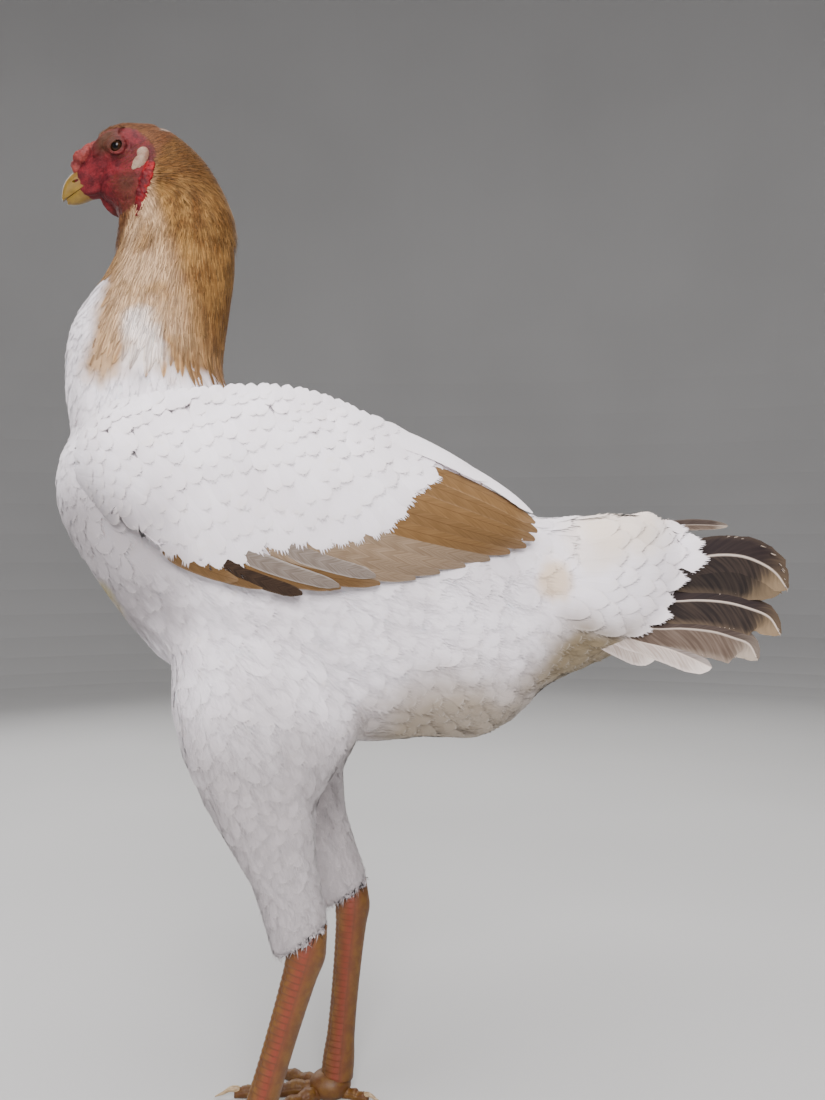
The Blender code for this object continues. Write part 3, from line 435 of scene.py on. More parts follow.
# The tail vanes are darkened above the shaft as painted shadow of the feather over each one.
for name, (dark, light, rim, tip) in TAIL_SHADES.items():
    feather_finish(
        name, base=(dark, light), rim=(rim, 0.6), tip=(tip, 0.85), shaft=((0.62, 0.52, 0.44), 1.0), vary=0.3,
        barbs=120.0, shaft_width=0.075, upper=((0.018, 0.011, 0.012), 0.6)
    )
buff_vane = feather_finish(
    "buff_vane", base=((0.20, 0.135, 0.082), (0.28, 0.205, 0.138)), rim=((0.38, 0.30, 0.23), 0.6), vary=0.2,
    barbs=110.0
)
dark_vane = feather_finish(
    "dark_vane", base=((0.022, 0.012, 0.007), (0.05, 0.028, 0.016)), rim=((0.12, 0.08, 0.045), 0.6), vary=0.2,
    barbs=90.0
)
grey_vane = feather_finish(
    "grey_vane", base=((0.155, 0.122, 0.098), (0.24, 0.20, 0.17)), rim=((0.44, 0.39, 0.35), 0.6), vary=0.2,
    barbs=90.0
)
face_bristle = feather_finish(
    "face_bristle", base=((0.05, 0.014, 0.005), (0.13, 0.045, 0.014)), vary=0.4, barbs=1.0
)
print("feather finishes:", [m.name for m in bpy.data.materials if m.name.endswith(("vane", "tuft"))])

# %% [markdown]
# ## Curves, rings and skins
# The body is lofted: rings of points follow each other along a line and are joined. The sizes that describe
# a ring are given at a few stations, and a smooth curve through them gives the rings between. A closed,
# even skin over several lofts comes from a voxel remesh, which melts them together as one.

# %% Shape helpers


def values_at(rows, x):
    """The rows' values at x, on a smooth curve through the rows, whose first value is x."""
    x = min(max(x, rows[0][0]), rows[-1][0])
    k = next(i for i in range(len(rows) - 1) if x <= rows[i + 1][0])
    before, a, b, after = rows[max(k - 1, 0)], rows[k], rows[k + 1], rows[min(k + 2, len(rows) - 1)]
    span = b[0] - a[0]
    t = (x - a[0]) / span
    found = []
    for p, q, r, s in zip(before[1:], a[1:], b[1:], after[1:]):
        start = (r - p) / (b[0] - before[0]) * span
        end = (s - q) / (after[0] - a[0]) * span
        found.append(
            (2 * t**3 - 3 * t**2 + 1) * q
            + (t**3 - 2 * t**2 + t) * start
            + (3 * t**2 - 2 * t**3) * r
            + (t**3 - t**2) * end
        )
    return found


def smooth_rows(rows, steps):
    """The rows with more between them, on a smooth curve, steps to each span."""
    rows = np.array(rows, float)
    padded = np.vstack([2 * rows[0] - rows[1], rows, 2 * rows[-1] - rows[-2]])
    made = []
    for k in range(1, len(padded) - 2):
        a, b, c, d = padded[k - 1 : k + 3]
        for t in np.arange(steps) / steps:
            square, cube = (2 * a - 5 * b + 4 * c - d) * t**2, (3 * b - a - 3 * c + d) * t**3
            made.append(0.5 * (2 * b + (c - a) * t + square + cube))
    return [tuple(row) for row in [*made, rows[-1]]]


def at(x, y, z):
    """A point from the maker's millimetres; the frame's origin lies 0.97 mm behind theirs."""
    return Vector((x - 0.97, y, z)) * MM


def oval(centre, across, rise, drop, sides, fullness=2.0):
    """A ring round a centre: across is half its width, rise and drop reach its top and bottom."""
    ring = []
    for k in range(sides):
        c, s = math.cos(math.tau * (k + 0.5) / sides), math.sin(math.tau * (k + 0.5) / sides)
        reach = (abs(c) ** fullness + abs(s) ** fullness) ** (-1 / fullness)
        ring.append(centre + across * c * reach + (rise if s > 0 else drop) * abs(s) * reach)
    return ring


def loft_into(bm, rings):
    """Adds a closed skin over rings of as many points each, with a pole in each end."""
    made = [[bm.verts.new(point) for point in ring] for ring in rings]
    for near, far in zip(made, made[1:]):
        for k, point in enumerate(near):
            bm.faces.new((point, near[k - 1], far[k - 1], far[k]))
    for ring in (made[0], made[-1]):
        pole = bm.verts.new(sum((v.co for v in ring), Vector()) / len(ring))
        for k, point in enumerate(ring):
            bm.faces.new((point, ring[k - 1], pole))


def mesh_of(name, bm):
    """Turns a bmesh into a mesh whose faces point out."""
    bmesh.ops.recalc_face_normals(bm, faces=bm.faces)
    mesh = bpy.data.meshes.new(name)
    bm.to_mesh(mesh)
    bm.free()
    return mesh


def linked(name, mesh):
    """A new object of a mesh in the scene."""
    made = bpy.data.objects.new(name, mesh)
    bpy.context.scene.collection.objects.link(made)
    return made


def applied(obj):
    """Gives the object its evaluated mesh and clears its modifiers."""
    bpy.context.view_layer.update()
    mesh = bpy.data.meshes.new_from_object(obj.evaluated_get(bpy.context.evaluated_depsgraph_get()))
    obj.modifiers.clear()
    obj.data = mesh
    return obj


def melted(obj, voxel, smoothing):
    """One even skin over everything in the object, by voxel remesh and smoothing."""
    remesh = obj.modifiers.new("voxels", "REMESH")
    remesh.mode, remesh.voxel_size = "VOXEL", voxel
    smooth = obj.modifiers.new("smooth", "SMOOTH")
    smooth.factor, smooth.iterations = 0.5, smoothing
    return applied(obj)


def corners(mesh):
    """The mesh's points and their outward directions, as arrays."""
    points = np.empty(len(mesh.vertices) * 3, np.float32)
    mesh.vertices.foreach_get("co", points)
    normals = np.empty(len(mesh.vertices) * 3, np.float32)
    mesh.vertex_normals.foreach_get("vector", normals)
    return points.reshape(-1, 3).astype(float), normals.reshape(-1, 3).astype(float)


def move_to(mesh, points):
    """Sets the mesh's points."""
    mesh.vertices.foreach_set("co", np.asarray(points, np.float32).ravel())
    mesh.update()


def keep_values(mesh, name, values):
    """Keeps one number for each point of the mesh, for a finish to read."""
    kept = mesh.attributes.new(name, "FLOAT", "POINT")
    kept.data.foreach_set("value", np.asarray(values, np.float32))


def show(obj, material, slot, *stands_for):
    """Finishes a piece: smooth, painted, riding on the body, and standing for its solids."""
    obj.data.shade_smooth()
    obj.data.materials.clear()
    obj.data.materials.append(material)
    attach(obj, "root")
    if stands_for:
        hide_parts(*stands_for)
    print(obj.name, len(obj.data.polygons), "faces")
    return obj


print("shape helpers ready")

# %% [markdown]
# ## The body under the coat
# The skin of trunk, neck and thighs could be lofted afresh, but the solids already hold its sizes. They are
# melted into one skin instead, smoothed so that no facet shows through the coat, and drawn in by the depth
# of the feathers over each part: thin at the top of the neck and at the hock, deep on the belly. The tail's
# stump is lofted again, because the solid tail already carries its feathers.

# %% Body skin
STUMP = (
    (70, 423, 361, 287, 44),
    (84, 420, 360, 300, 39),
    (118, 422.5, 366, 316, 31),
    (150, 421, 368, 330, 22),
    (174, 407, 367, 340, 9),
)


def part_of(bm, name):
    """Adds a solid of the frame."""
    bm.from_mesh(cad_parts[name].data)


bm = bmesh.new()
for name in ("torso", "neck", "thigh_left", "thigh_right"):
    part_of(bm, name)
rings = []
for x, top, widest, bottom, half in smooth_rows(STUMP, 3):
    rise, drop = Vector((0, 0, (top - widest) * MM)), Vector((0, 0, (bottom - widest) * MM))
    rings.append(oval(at(x, 0, widest), Vector((0, half * MM, 0)), rise, drop, 24, 2.15))
loft_into(bm, rings)
body = melted(linked("body_skin", mesh_of("body_skin", bm)), 0.003, 16)


def coat_depth(points):
    """How deep the coat lies over the skin at each point, in metres."""
    x, z = points[:, 0], points[:, 2]
    depth = np.full(len(points), 4.0)
    depth = np.where(z > 0.5, 4.0 - 2.0 * np.clip((z - 0.5) / 0.12, 0, 1), depth)
    depth = np.where(z < 0.25, 4.0 - 2.2 * np.clip((0.25 - z) / 0.11, 0, 1), depth)
    return depth * MM


points, normals = corners(body.data)
move_to(body.data, points - normals * coat_depth(points)[:, None])
print("body skin", len(body.data.polygons), "faces")

# %% [markdown]
# ## Head
# The bare face gives the breed its look: a broad skull, a heavy brow over a deep-set eye, rough red skin
# with folds at cheek and throat, and a low lumpy comb. It is built in the head's own frame, which dips
# towards the bill and tilts a little, from the same sizes as the solids but with a far finer skin.

# %% Head frame and skull
DIP, TILT = math.radians(32.0), math.radians(14.0)
FORWARD = Vector((-math.cos(DIP), 0, -math.sin(DIP)))
LEVEL_UP = Vector((-math.sin(DIP), 0, math.cos(DIP)))
HEAD_UP = LEVEL_UP * math.cos(TILT) - Vector((0, 1, 0)) * math.sin(TILT)
HEAD_RIGHT = Vector((0, 1, 0)) * math.cos(TILT) + LEVEL_UP * math.sin(TILT)
HEAD_ORIGIN = at(-208.5, 0, 666.5)
HEAD_TURN = Matrix((FORWARD, HEAD_RIGHT, HEAD_UP)).transposed()


def in_head(u, y, v):
    """A point of the head's frame, in mm: ahead, to the right, up."""
    return HEAD_ORIGIN + (FORWARD * u + HEAD_RIGHT * y + HEAD_UP * v) * MM


def to_head(points):
    """Places in metres as ahead, right and up of the head's frame, in mm."""
    return (np.asarray(points) - np.array(HEAD_ORIGIN)) @ np.array(HEAD_TURN) / MM


def egg_into(bm, centre, radii, roll=0.0, pitch=0.0, detail=4):
    """Adds an ellipsoid in the head's frame, pitched about its crosswise axis and rolled about its length."""
    turn = HEAD_TURN.to_4x4() @ Matrix.Rotation(
        math.radians(pitch), 4, "Y"
    ) @ Matrix.Rotation(math.radians(roll), 4, "X")
    shape = Matrix.Diagonal((*(Vector(radii) * MM), 1))
    bmesh.ops.create_icosphere(
        bm, subdivisions=detail, radius=1, matrix=Matrix.Translation(in_head(*centre)) @ turn @ shape
    )


SKULL = (
    (-33, -10, 8, 7),
    (-29, -8.5, 12, 11),
    (-22, -6.5, 14.5, 15),
    (-12, -5, 18.5, 17.5),
    (-2, -4.5, 19.5, 18),
    (6, -5, 18.8, 17),
    (14, -6.2, 16, 14),
    (22, -7, 13.3, 11.3),
    (29, -7, 11.3, 9.2),
    (35, -7.2, 9.0, 7.2),
)
UPPER_NECK = (
    (-209, 601, -127, 604, 30),
    (-208, 618, -129, 622, 28),
    (-212, 629, -137, 642, 26),
    (-220, 636, -152, 664, 23),
    (-220, 648, -172, 680, 19),
    (-210, 662, -190, 682, 9),
)
EYE = (-2.4, -16.2, 0.2)
GAPE = -8.2

bm = bmesh.new()
rings = []
for u, middle, rise, half in smooth_rows(SKULL, 5):
    across, up = HEAD_RIGHT * half * MM, HEAD_UP * rise * MM
    rings.append(oval(in_head(u, 0, middle), across, up, -up, 48, 2.2))
loft_into(bm, rings)
rings = []
for fx, fz, bx, bz, half in smooth_rows(UPPER_NECK, 5):
    front, back = at(fx + 1.5, 0, fz), at(bx - 2.0, 0, bz)
    middle = (front + back) / 2
    rings.append(oval(middle, Vector((0, (half - 1.5) * MM, 0)), front - middle, back - middle, 48, 2.1))
loft_into(bm, rings)
egg_into(bm, (18, 0, -27), (9.5, 5.0, 13.5), 0, 18)
for side in (-1, 1):
    egg_into(bm, (0.5, side * 12.8, 7.6), (13.0, 5.6, 4.4), side * 25, 6)
    egg_into(bm, (8.0, side * 11.8, 6.0), (7.5, 4.8, 3.8), side * 20, 24)
    egg_into(bm, (EYE[0] + 1.0, side * 17.2, 5.4), (7.6, 2.6, 1.9), side * 15, 14)
    egg_into(bm, (-2, side * 12.5, -11.5), (13, 5.2, 7.5), 0, 12)
    egg_into(bm, (13, side * 9.0, -11.0), (9, 4.4, 5.0), 0, 10)
    egg_into(bm, (EYE[0], side * -EYE[1], EYE[2]), (7.6, 7.6, 7.6))
    egg_into(bm, (25, side * 6.8, -14.0), (8, 2.6, 3.0), 0, -6)
head = melted(linked("skin", mesh_of("skin", bm)), 0.0008, 5)
print("head skin", len(head.data.polygons), "faces before its folds")

# %% [markdown]
# ### Folds and pebbles of the face
# The red skin is thick and rough: wrinkles run from the eye and the corner of the mouth, and small pebbles
# cover the cheeks. Bump alone would leave the outline smooth, so the points of the fine skin move by a few
# tenths of a millimetre: noise stretched along the folds for the wrinkles, and cells for the pebbles.

# %% Fold the face
points, normals = corners(head.data)
flat = to_head(points)
u, y, v = flat.T
face = 1 / (1 + np.exp(-(u + 13 - 0.35 * (v + 5)) / 2.0))
throat = 1 / (1 + np.exp((v + 20) / 3.0)) * (u > -12)
rough = np.clip(face + throat, 0, 1)
around = np.hypot(u - EYE[0], (v - EYE[2]) * 1.1)
rings_of_eye = np.sin(around * 2.6 + 0.6 * np.sin(u)) * np.exp(-(((around - 8.5) / 3.2) ** 2))
lift = np.zeros(len(points))
for k, (a, b, c) in enumerate(flat):
    if rough[k] < 0.03:
        continue
    cell = noise.voronoi(Vector((a, b, c)) * (0.8 + 0.5 * noise.noise(Vector((a, b, c)) * 0.12)))[0]
    pebble = 0.5 - min(cell[0], 0.9)
    crease = noise.fractal(Vector((a * 0.16, b * 0.4, c * 0.42)), 1.0, 2.0, 3)
    lift[k] = 0.22 * pebble + 0.75 * crease
quiet = 1 / (1 + np.exp((u - 24.5) / 1.2))
lift = lift * rough * (0.15 + 0.85 * quiet) + 0.32 * rings_of_eye * rough
lids = np.exp(-(((around - 5.6) / 0.9) ** 2)) * (np.abs(y) > 9)
move_to(head.data, points + normals * ((lift + 0.55 * lids) * MM)[:, None])


def cutter(shapes):
    """An object of ellipsoids in the head's frame, to cut with."""
    bm = bmesh.new()
    for shape in shapes:
        egg_into(bm, *shape)
    return linked("cutter", mesh_of("cutter", bm))


def cut_or_join(target, other, operation):
    """Cuts the other object from the target or joins it on, and removes the other one."""
    boolean = target.modifiers.new("boolean", "BOOLEAN")
    boolean.operation, boolean.object, boolean.solver = operation, other, "MANIFOLD"
    applied(target)
    bpy.data.objects.remove(other)
    return target


for side in (-1, 1):
    centre = (EYE[0], side * -EYE[1], EYE[2])
    cut_or_join(head, cutter([(centre, (6.7, 6.7, 6.7))]), "DIFFERENCE")
    cut_or_join(head, cutter([((EYE[0], side * 24, EYE[2] - 0.5), (4.5, 7.5, 3.0), 0, 12)]), "DIFFERENCE")
print("folded head", len(head.data.polygons), "faces")

# %% [markdown]
# ### Skin finishes
# Bare skin is red from the blood under it, mottled deeper and lighter, with darker pits between small
# pebbles. It is dusky brown where small bristles grow on the cheek and throat, and painted shade darkens it
# on the brow, round the eye and before it. The finish blends those by place and noise, adds pores as bump,
# and lets a little light pass under the surface. Under the coat the same skin takes the markings of the feathers.

# %% Skin finish
g, entry, leave = node_group(
    "pebbled_skin", [("Vector", "Place", None), ("Float", "Pebble size", 0.0012)],
    [("Float", "Height"), ("Float", "Pits")]
)
cells = g.put(
    "ShaderNodeTexVoronoi", {"Vector": entry["Place"], "Scale": g.math("DIVIDE", 1.0, entry["Pebble size"])},
    feature="F1"
)
grain = g.noise(entry["Place"], 1400, 3.0, 0.6)
dome = g.minus(1.0, cells.outputs["Distance"], clamp=True)
g.tree.links.new(g.add(dome, g.times(grain, 0.5)), leave["Height"])
g.tree.links.new(g.span(cells.outputs["Distance"], 0.35, 0.75), leave["Pits"])
pebbled_skin = g.tree


def skin_finish(name, light, deep, pit, pebble=0.0009, roughness=0.58, feathered=False):
    """Bare skin in two shades with darker pits, over the coat's markings where it is feathered."""
    made, g, shader = finish_of(name, Roughness=roughness)
    let_light_in(shader, 0.18, (1.0, 0.35, 0.25), 0.0025)
    shader.inputs["Specular IOR Level"].default_value = 0.22
    place = place_on_bird(g)
    pebbles = g.group(pebbled_skin, {"Place": place, "Pebble size": pebble})
    mottle = g.noise(place, 130, 4.0, 0.6)
    colour = g.mix(g.span(mottle, 0.36, 0.66), deep, light)
    colour = g.mix(g.times(pebbles["Pits"], 0.35), colour, pit)
    if feathered:
        coat = g.group(hen_markings_and_painted_shade, {"Place": place})["Colour"]
        bare = g.read("bare")
        dusky_skin_and_eye_shade = g.read("dusky_skin_and_eye_shade")
        # Darkens to brown where the skin is dusky with bristles, and as painted shade on the brow and round the eye.
        colour = g.mix(g.times(dusky_skin_and_eye_shade, g.span(mottle, 0.2, 0.6, 0.5, 1.0)), colour, (0.070, 0.027, 0.014))
        colour = g.mix(bare, coat, colour)
    g.feed(shader.inputs, {"Base Color": colour})
    g.tree.links.new(g.add(roughness - 0.08, g.times(mottle, 0.2)), shader.inputs["Roughness"])
    g.feed(shader.inputs, {"Normal": g.bump(pebbles["Height"], 0.5, 0.0003)})
    return made


face_skin = skin_finish(
    "face_skin", (0.185, 0.015, 0.020), (0.080, 0.007, 0.010), (0.028, 0.002, 0.004), feathered=True
)
comb_skin = skin_finish("comb_skin", (0.27, 0.052, 0.042), (0.14, 0.022, 0.022), (0.09, 0.012, 0.012), 0.0013)
lappet_skin = skin_finish(
    "lappet_skin", (0.30, 0.008, 0.010), (0.075, 0.003, 0.006), (0.04, 0.002, 0.003), 0.0011
)
lobe_skin = skin_finish("lobe_skin", (0.33, 0.25, 0.18), (0.23, 0.13, 0.09), (0.26, 0.12, 0.09), 0.0008)
print("skin finishes made")

# %% Join head and body into one skin
# The rear edge of the bare face: v and u of the head's frame, in mm.
BARE_EDGE = (
    (-60, 14), (-43, 11.4), (-32.5, -0.9), (-25.4, -12.7), (-19.6, -20.3), (-14.5, -23.5), (-5.6, -22.2),
    (3.4, -19.3), (9.0, -13.0), (11.8, -2.0), (13.5, 9.0), (17.0, 16.0)
)


def bareness(points):
    """How bare the skin is at each place: 1 on the face, 0 under the coat."""
    u, y, v = to_head(points).T
    line = np.interp(v, [row[0] for row in BARE_EDGE], [row[1] for row in BARE_EDGE])
    near = 1 / (1 + np.exp(-(u - line) / 0.7))
    low = 0.606 + 0.004 * np.sin(points[:, 1] * 420) + 0.003 * np.sin(points[:, 0] * 900)
    return near / (1 + np.exp(-(points[:, 2] - low) / 0.0012))


def is_bare(points):
    return bareness(points) > 0.5


cut_or_join(head, body, "UNION")
points, normals = corners(head.data)
keep_values(head.data, "bare", bareness(points))
# Darkened skin: painted shade on the brow, round the eye and before it, and dusky skin on the bristly cheek and down
# the throat.
u, y, v = to_head(points).T
# Each spot: its strength, then its middle and reach along u, and its middle and reach along v.
DUSKY_SKIN_AND_EYE_SHADE_SPOTS = (
    # Painted shade on the brow, round the eye and before it:
    (1.1, -0.5, 8.0, 8.5, 3.6),
    (1.0, 3.5, 7.5, 4.5, 4.5),
    (0.7, EYE[0], 6.0, EYE[2], 5.0),
    # Dusky skin with bristles on the cheek and throat:
    (0.75, 6, 7.0, -24, 6.5),
)
dusky_skin_and_eye_shade = np.zeros(len(points))
for strength, ahead, long, high, tall in DUSKY_SKIN_AND_EYE_SHADE_SPOTS:
    dusky_skin_and_eye_shade = dusky_skin_and_eye_shade + strength * np.exp(-(((u - ahead) / long) ** 2) - ((v - high) / tall) ** 2)
dusky_skin_and_eye_shade = dusky_skin_and_eye_shade + 0.7 / (1 + np.exp((v + 32) / 3.0))
keep_values(head.data, "dusky_skin_and_eye_shade", np.clip(dusky_skin_and_eye_shade, 0, 1))
show(head, face_skin, "face", "torso", "neck", "head", "thigh_left", "thigh_right")

# %% [markdown]
# ### Comb, earlobes and lappets
# The comb is a low strawberry of lumps set forward over the bill, melted from ellipsoids and roughened like
# the face. Under the ear lies a small whitish lobe, and from it a thin red fold hangs along the throat.

# %% Comb, earlobes and lappets
LUMPS = (
    (26.6, 0, 6.2, 6.0, 5.6, 4.6),
    (22.0, 3.2, 8.4, 6.4, 5.4, 4.8),
    (22.0, -3.2, 8.8, 6.4, 5.2, 4.8),
    (16.0, 0.4, 9.8, 7.0, 6.0, 4.8),
    (10.5, -3.2, 9.2, 5.4, 4.8, 4.0),
    (10.5, 3.4, 9.0, 5.4, 4.6, 3.8),
    (29.4, 2.4, 3.4, 3.6, 3.8, 3.4),
    (29.2, -2.4, 3.6, 3.6, 3.6, 3.4),
)


def roughened(obj, amount, cell, seed=0.0):
    """Pebbles and creases over a small piece of bare skin."""
    points, normals = corners(obj.data)
    lift = np.empty(len(points))
    for k, p in enumerate(points):
        spot = Vector(p) / MM + Vector((seed, 0, 0))
        lift[k] = 0.5 - min(
            noise.voronoi(spot * cell)[0][0], 0.9
        ) + 0.8 * noise.fractal(spot * 0.3, 1.0, 2.0, 3)
    move_to(obj.data, points + normals * (lift * amount * MM)[:, None])
    return obj


bm = bmesh.new()
for lump in LUMPS:
    egg_into(bm, lump[:3], lump[3:])
comb = roughened(melted(linked("comb_skin", mesh_of("comb_skin", bm)), 0.0006, 3), 0.6, 0.55)
show(comb, comb_skin, "comb", "comb")

face_tree = BVHTree.FromPolygons(
    [v.co for v in head.data.vertices], [tuple(p.vertices) for p in head.data.polygons]
)


def seat(u, v, side):
    """How far out the face reaches at u and v of the head's frame, in mm."""
    hit = face_tree.ray_cast(in_head(u, side * 70, v), -HEAD_RIGHT * side)[0]
    return (hit - HEAD_ORIGIN).dot(HEAD_RIGHT) * side / MM if hit else 0.0


LAPPET = (
    (-15.5, -19.5, 3.0, 1.4),
    (-12.0, -24.0, 5.6, 2.2),
    (-6.6, -29.5, 6.0, 2.4),
    (-0.8, -35.0, 5.6, 2.4),
    (5.2, -41.5, 4.2, 2.0),
    (10.2, -47.5, 2.0, 1.3),
)
for side, word in SIDES:
    bm = bmesh.new()
    out = seat(-10.6, -16.6, side)
    egg_into(bm, (-10.2, side * (out + 0.2), -17.0), (8.0, 2.4, 3.9), 0, 20)
    egg_into(bm, (-14.6, side * (out - 0.2), -13.8), (4.6, 2.2, 4.2), 0, 34)
    lobe = roughened(melted(linked("earlobe_skin_" + word, mesh_of("lobe", bm)), 0.0005, 4), 0.35, 0.5)
    show(lobe, lobe_skin, "lobe", "earlobe_" + word)
    bm = bmesh.new()
    rings = []
    for u, v, across, thick in smooth_rows(LAPPET, 5):
        y = seat(u, v, side) + 0.2
        depth = HEAD_RIGHT * side * thick * MM
        rings.append(oval(in_head(u, side * y, v), FORWARD * across * MM, depth, -depth, 24))
    loft_into(bm, rings)
    lappet = roughened(melted(linked("lappet_skin_" + word, mesh_of("lappet", bm)), 0.0005, 3), 0.7, 0.4)
    show(lappet, lappet_skin, "lappet", "wattle_" + word)

# %% [markdown]
# ### Bill and eyes
# The bill is short, thick and curved, yellow horn with a browner ridge and faint growth lines across it.
# It is lofted from the same stations as the solid one, with a rounder section and the nostrils cut in. The
# eye is a dark glossy ball with a deep yellow-brown iris, painted by the angle from the way it looks.

# %% Bill
BILL_UPPER = (
    (24, 5.0, 9.6), (26, 4.6, 9.2), (33, 3.9, 8.1), (40, 1.9, 6.6), (45, -1.4, 5.0), (48.6, -5.4, 3.4)
)
BILL_LOWER = (
    (24, -18.0, 8.6), (26, -17.8, 8.4), (33, -17.2, 7.2), (40, -15.9, 5.6), (44, -14.4, 4.2), (46.6, -12.6, 2.9)
)

horn, g, shader = finish_of("bill_horn", Roughness=0.38)
let_light_in(shader, 0.12, (1.0, 0.6, 0.25), 0.002)
shader.inputs["Coat Weight"].default_value = 0.15
place = place_on_bird(g)
ahead = g.put("ShaderNodeVectorMath", {0: place, 1: tuple(FORWARD)}, operation="DOT_PRODUCT").outputs["Value"]
grow = g.math("SINE", g.times(ahead, 5200.0))
mottle = g.noise(place, 240, 4.0, 0.6)
colour = g.mix(g.span(mottle, 0.35, 0.7), (0.155, 0.088, 0.006), (0.23, 0.14, 0.013))
rooty = g.span(ahead, FORWARD.dot(in_head(39, 0, 0)), FORWARD.dot(in_head(29, 0, 0)))
colour = g.mix(g.times(rooty, 0.55), colour, (0.20, 0.09, 0.025))
g.feed(shader.inputs, {"Base Color": colour})
g.tree.links.new(g.add(0.3, g.times(mottle, 0.2)), shader.inputs["Roughness"])
g.feed(shader.inputs, {"Normal": g.bump(g.add(g.times(grow, 0.3), mottle), 0.3, 0.0002)})

for name, table, base, hook in (
    ("upper", BILL_UPPER, GAPE + 0.2, (49.6, -9.2)), ("lower", BILL_LOWER, GAPE - 0.25, (48.2, -10.6))
):
    bm = bmesh.new()
    rings = []
    for u, edge, half in smooth_rows(table, 6):
        ring = []
        for k in range(33):
            angle = math.pi * k / 32
            droop = 0.9 * math.sin(math.pi * (u - 24) / 26) if name == "upper" else 0
            height = base - droop * (1 - math.sin(angle)) * 0.5 + (edge - base) * math.sin(angle) ** 0.82
            ring.append(in_head(u, half * math.cos(angle), height))
        rings.append(ring)
    sign = 1.2 if name == "upper" else -1.0
    for share, reach in ((0.5, 2.4), (0.85, 1.7), (1.0, 0.9)):
        last = smooth_rows(table, 6)[-1]
        u = last[0] + (hook[0] - last[0]) * share
        middle = last[1] + (hook[1] - last[1]) * share
        height = hook[1] + (middle - hook[1]) * 0.6
        turns = [math.pi * k / 32 for k in range(33)]
        rings.append([in_head(u, reach * math.cos(turn), height + sign * math.sin(turn)) for turn in turns])
    loft_into(bm, rings)
    bill = melted(linked("bill_" + name + "_horn", mesh_of("bill", bm)), 0.0004, 3)
    if name == "upper":
        for side in (-1, 1):
            cut_or_join(bill, cutter([((34.5, side * 7.6, -2.4), (2.6, 3.0, 0.9), 0, -14, 3)]), "DIFFERENCE")
    show(bill, horn, "bill", "bill_" + name)

# %% Eyes
eye_finish, g, shader = finish_of("eye", Roughness=0.08)
shader.inputs["Coat Weight"].default_value = 0.1
shader.inputs["Coat Roughness"].default_value = 0.04
shader.inputs["Specular IOR Level"].default_value = 0.1
gaze = g.read("gaze")
place = place_on_bird(g)
fleck = g.noise(place, 900, 4.0, 0.7)
iris = g.mix(g.span(fleck, 0.3, 0.7), (0.014, 0.006, 0.003), (0.04, 0.017, 0.006))
iris = g.mix(g.span(gaze, 0.58, 0.66), iris, (0.01, 0.006, 0.005))
iris = g.mix(g.span(gaze, 0.34, 0.30), iris, (0.004, 0.004, 0.005))
g.feed(shader.inputs, {"Base Color": iris})
for side, word in SIDES:
    bm = bmesh.new()
    egg_into(bm, (EYE[0], side * -EYE[1], EYE[2]), (6.3, 6.3, 6.3), 0, 0, 5)
    egg_into(bm, (EYE[0] + 0.3, side * (-EYE[1] + 1.7), EYE[2] - 0.4), (4.6, 4.6, 4.6), 0, 0, 5)
    ball = melted(linked("eyeball_" + word, mesh_of("eyeball", bm)), 0.0003, 2)
    points, _ = corners(ball.data)
    centre = np.array(in_head(EYE[0], side * -EYE[1], EYE[2]))
    way = np.array(HEAD_RIGHT * side + FORWARD * 0.12)
    way /= np.linalg.norm(way)
    reach = points - centre
    reach /= np.linalg.norm(reach, axis=1, keepdims=True)
    keep_values(ball.data, "gaze", np.arccos(np.clip(reach @ way, -1, 1)))
    show(ball, eye_finish, "eye", "eye_" + word)

# %% [markdown]
# ## The lie of the coat
# Feathers point away from the bill: down the neck, back and down over the breast, back along the trunk, out
# along the tail and down the thigh. Their size changes as smoothly: small on the nape, long and narrow in
# the hackle, broad on breast and rump, small again towards the hock. So a table gives the heading, length,
# half width and lift at a few places seen from the side, and every root takes a blend of the nearest ones.

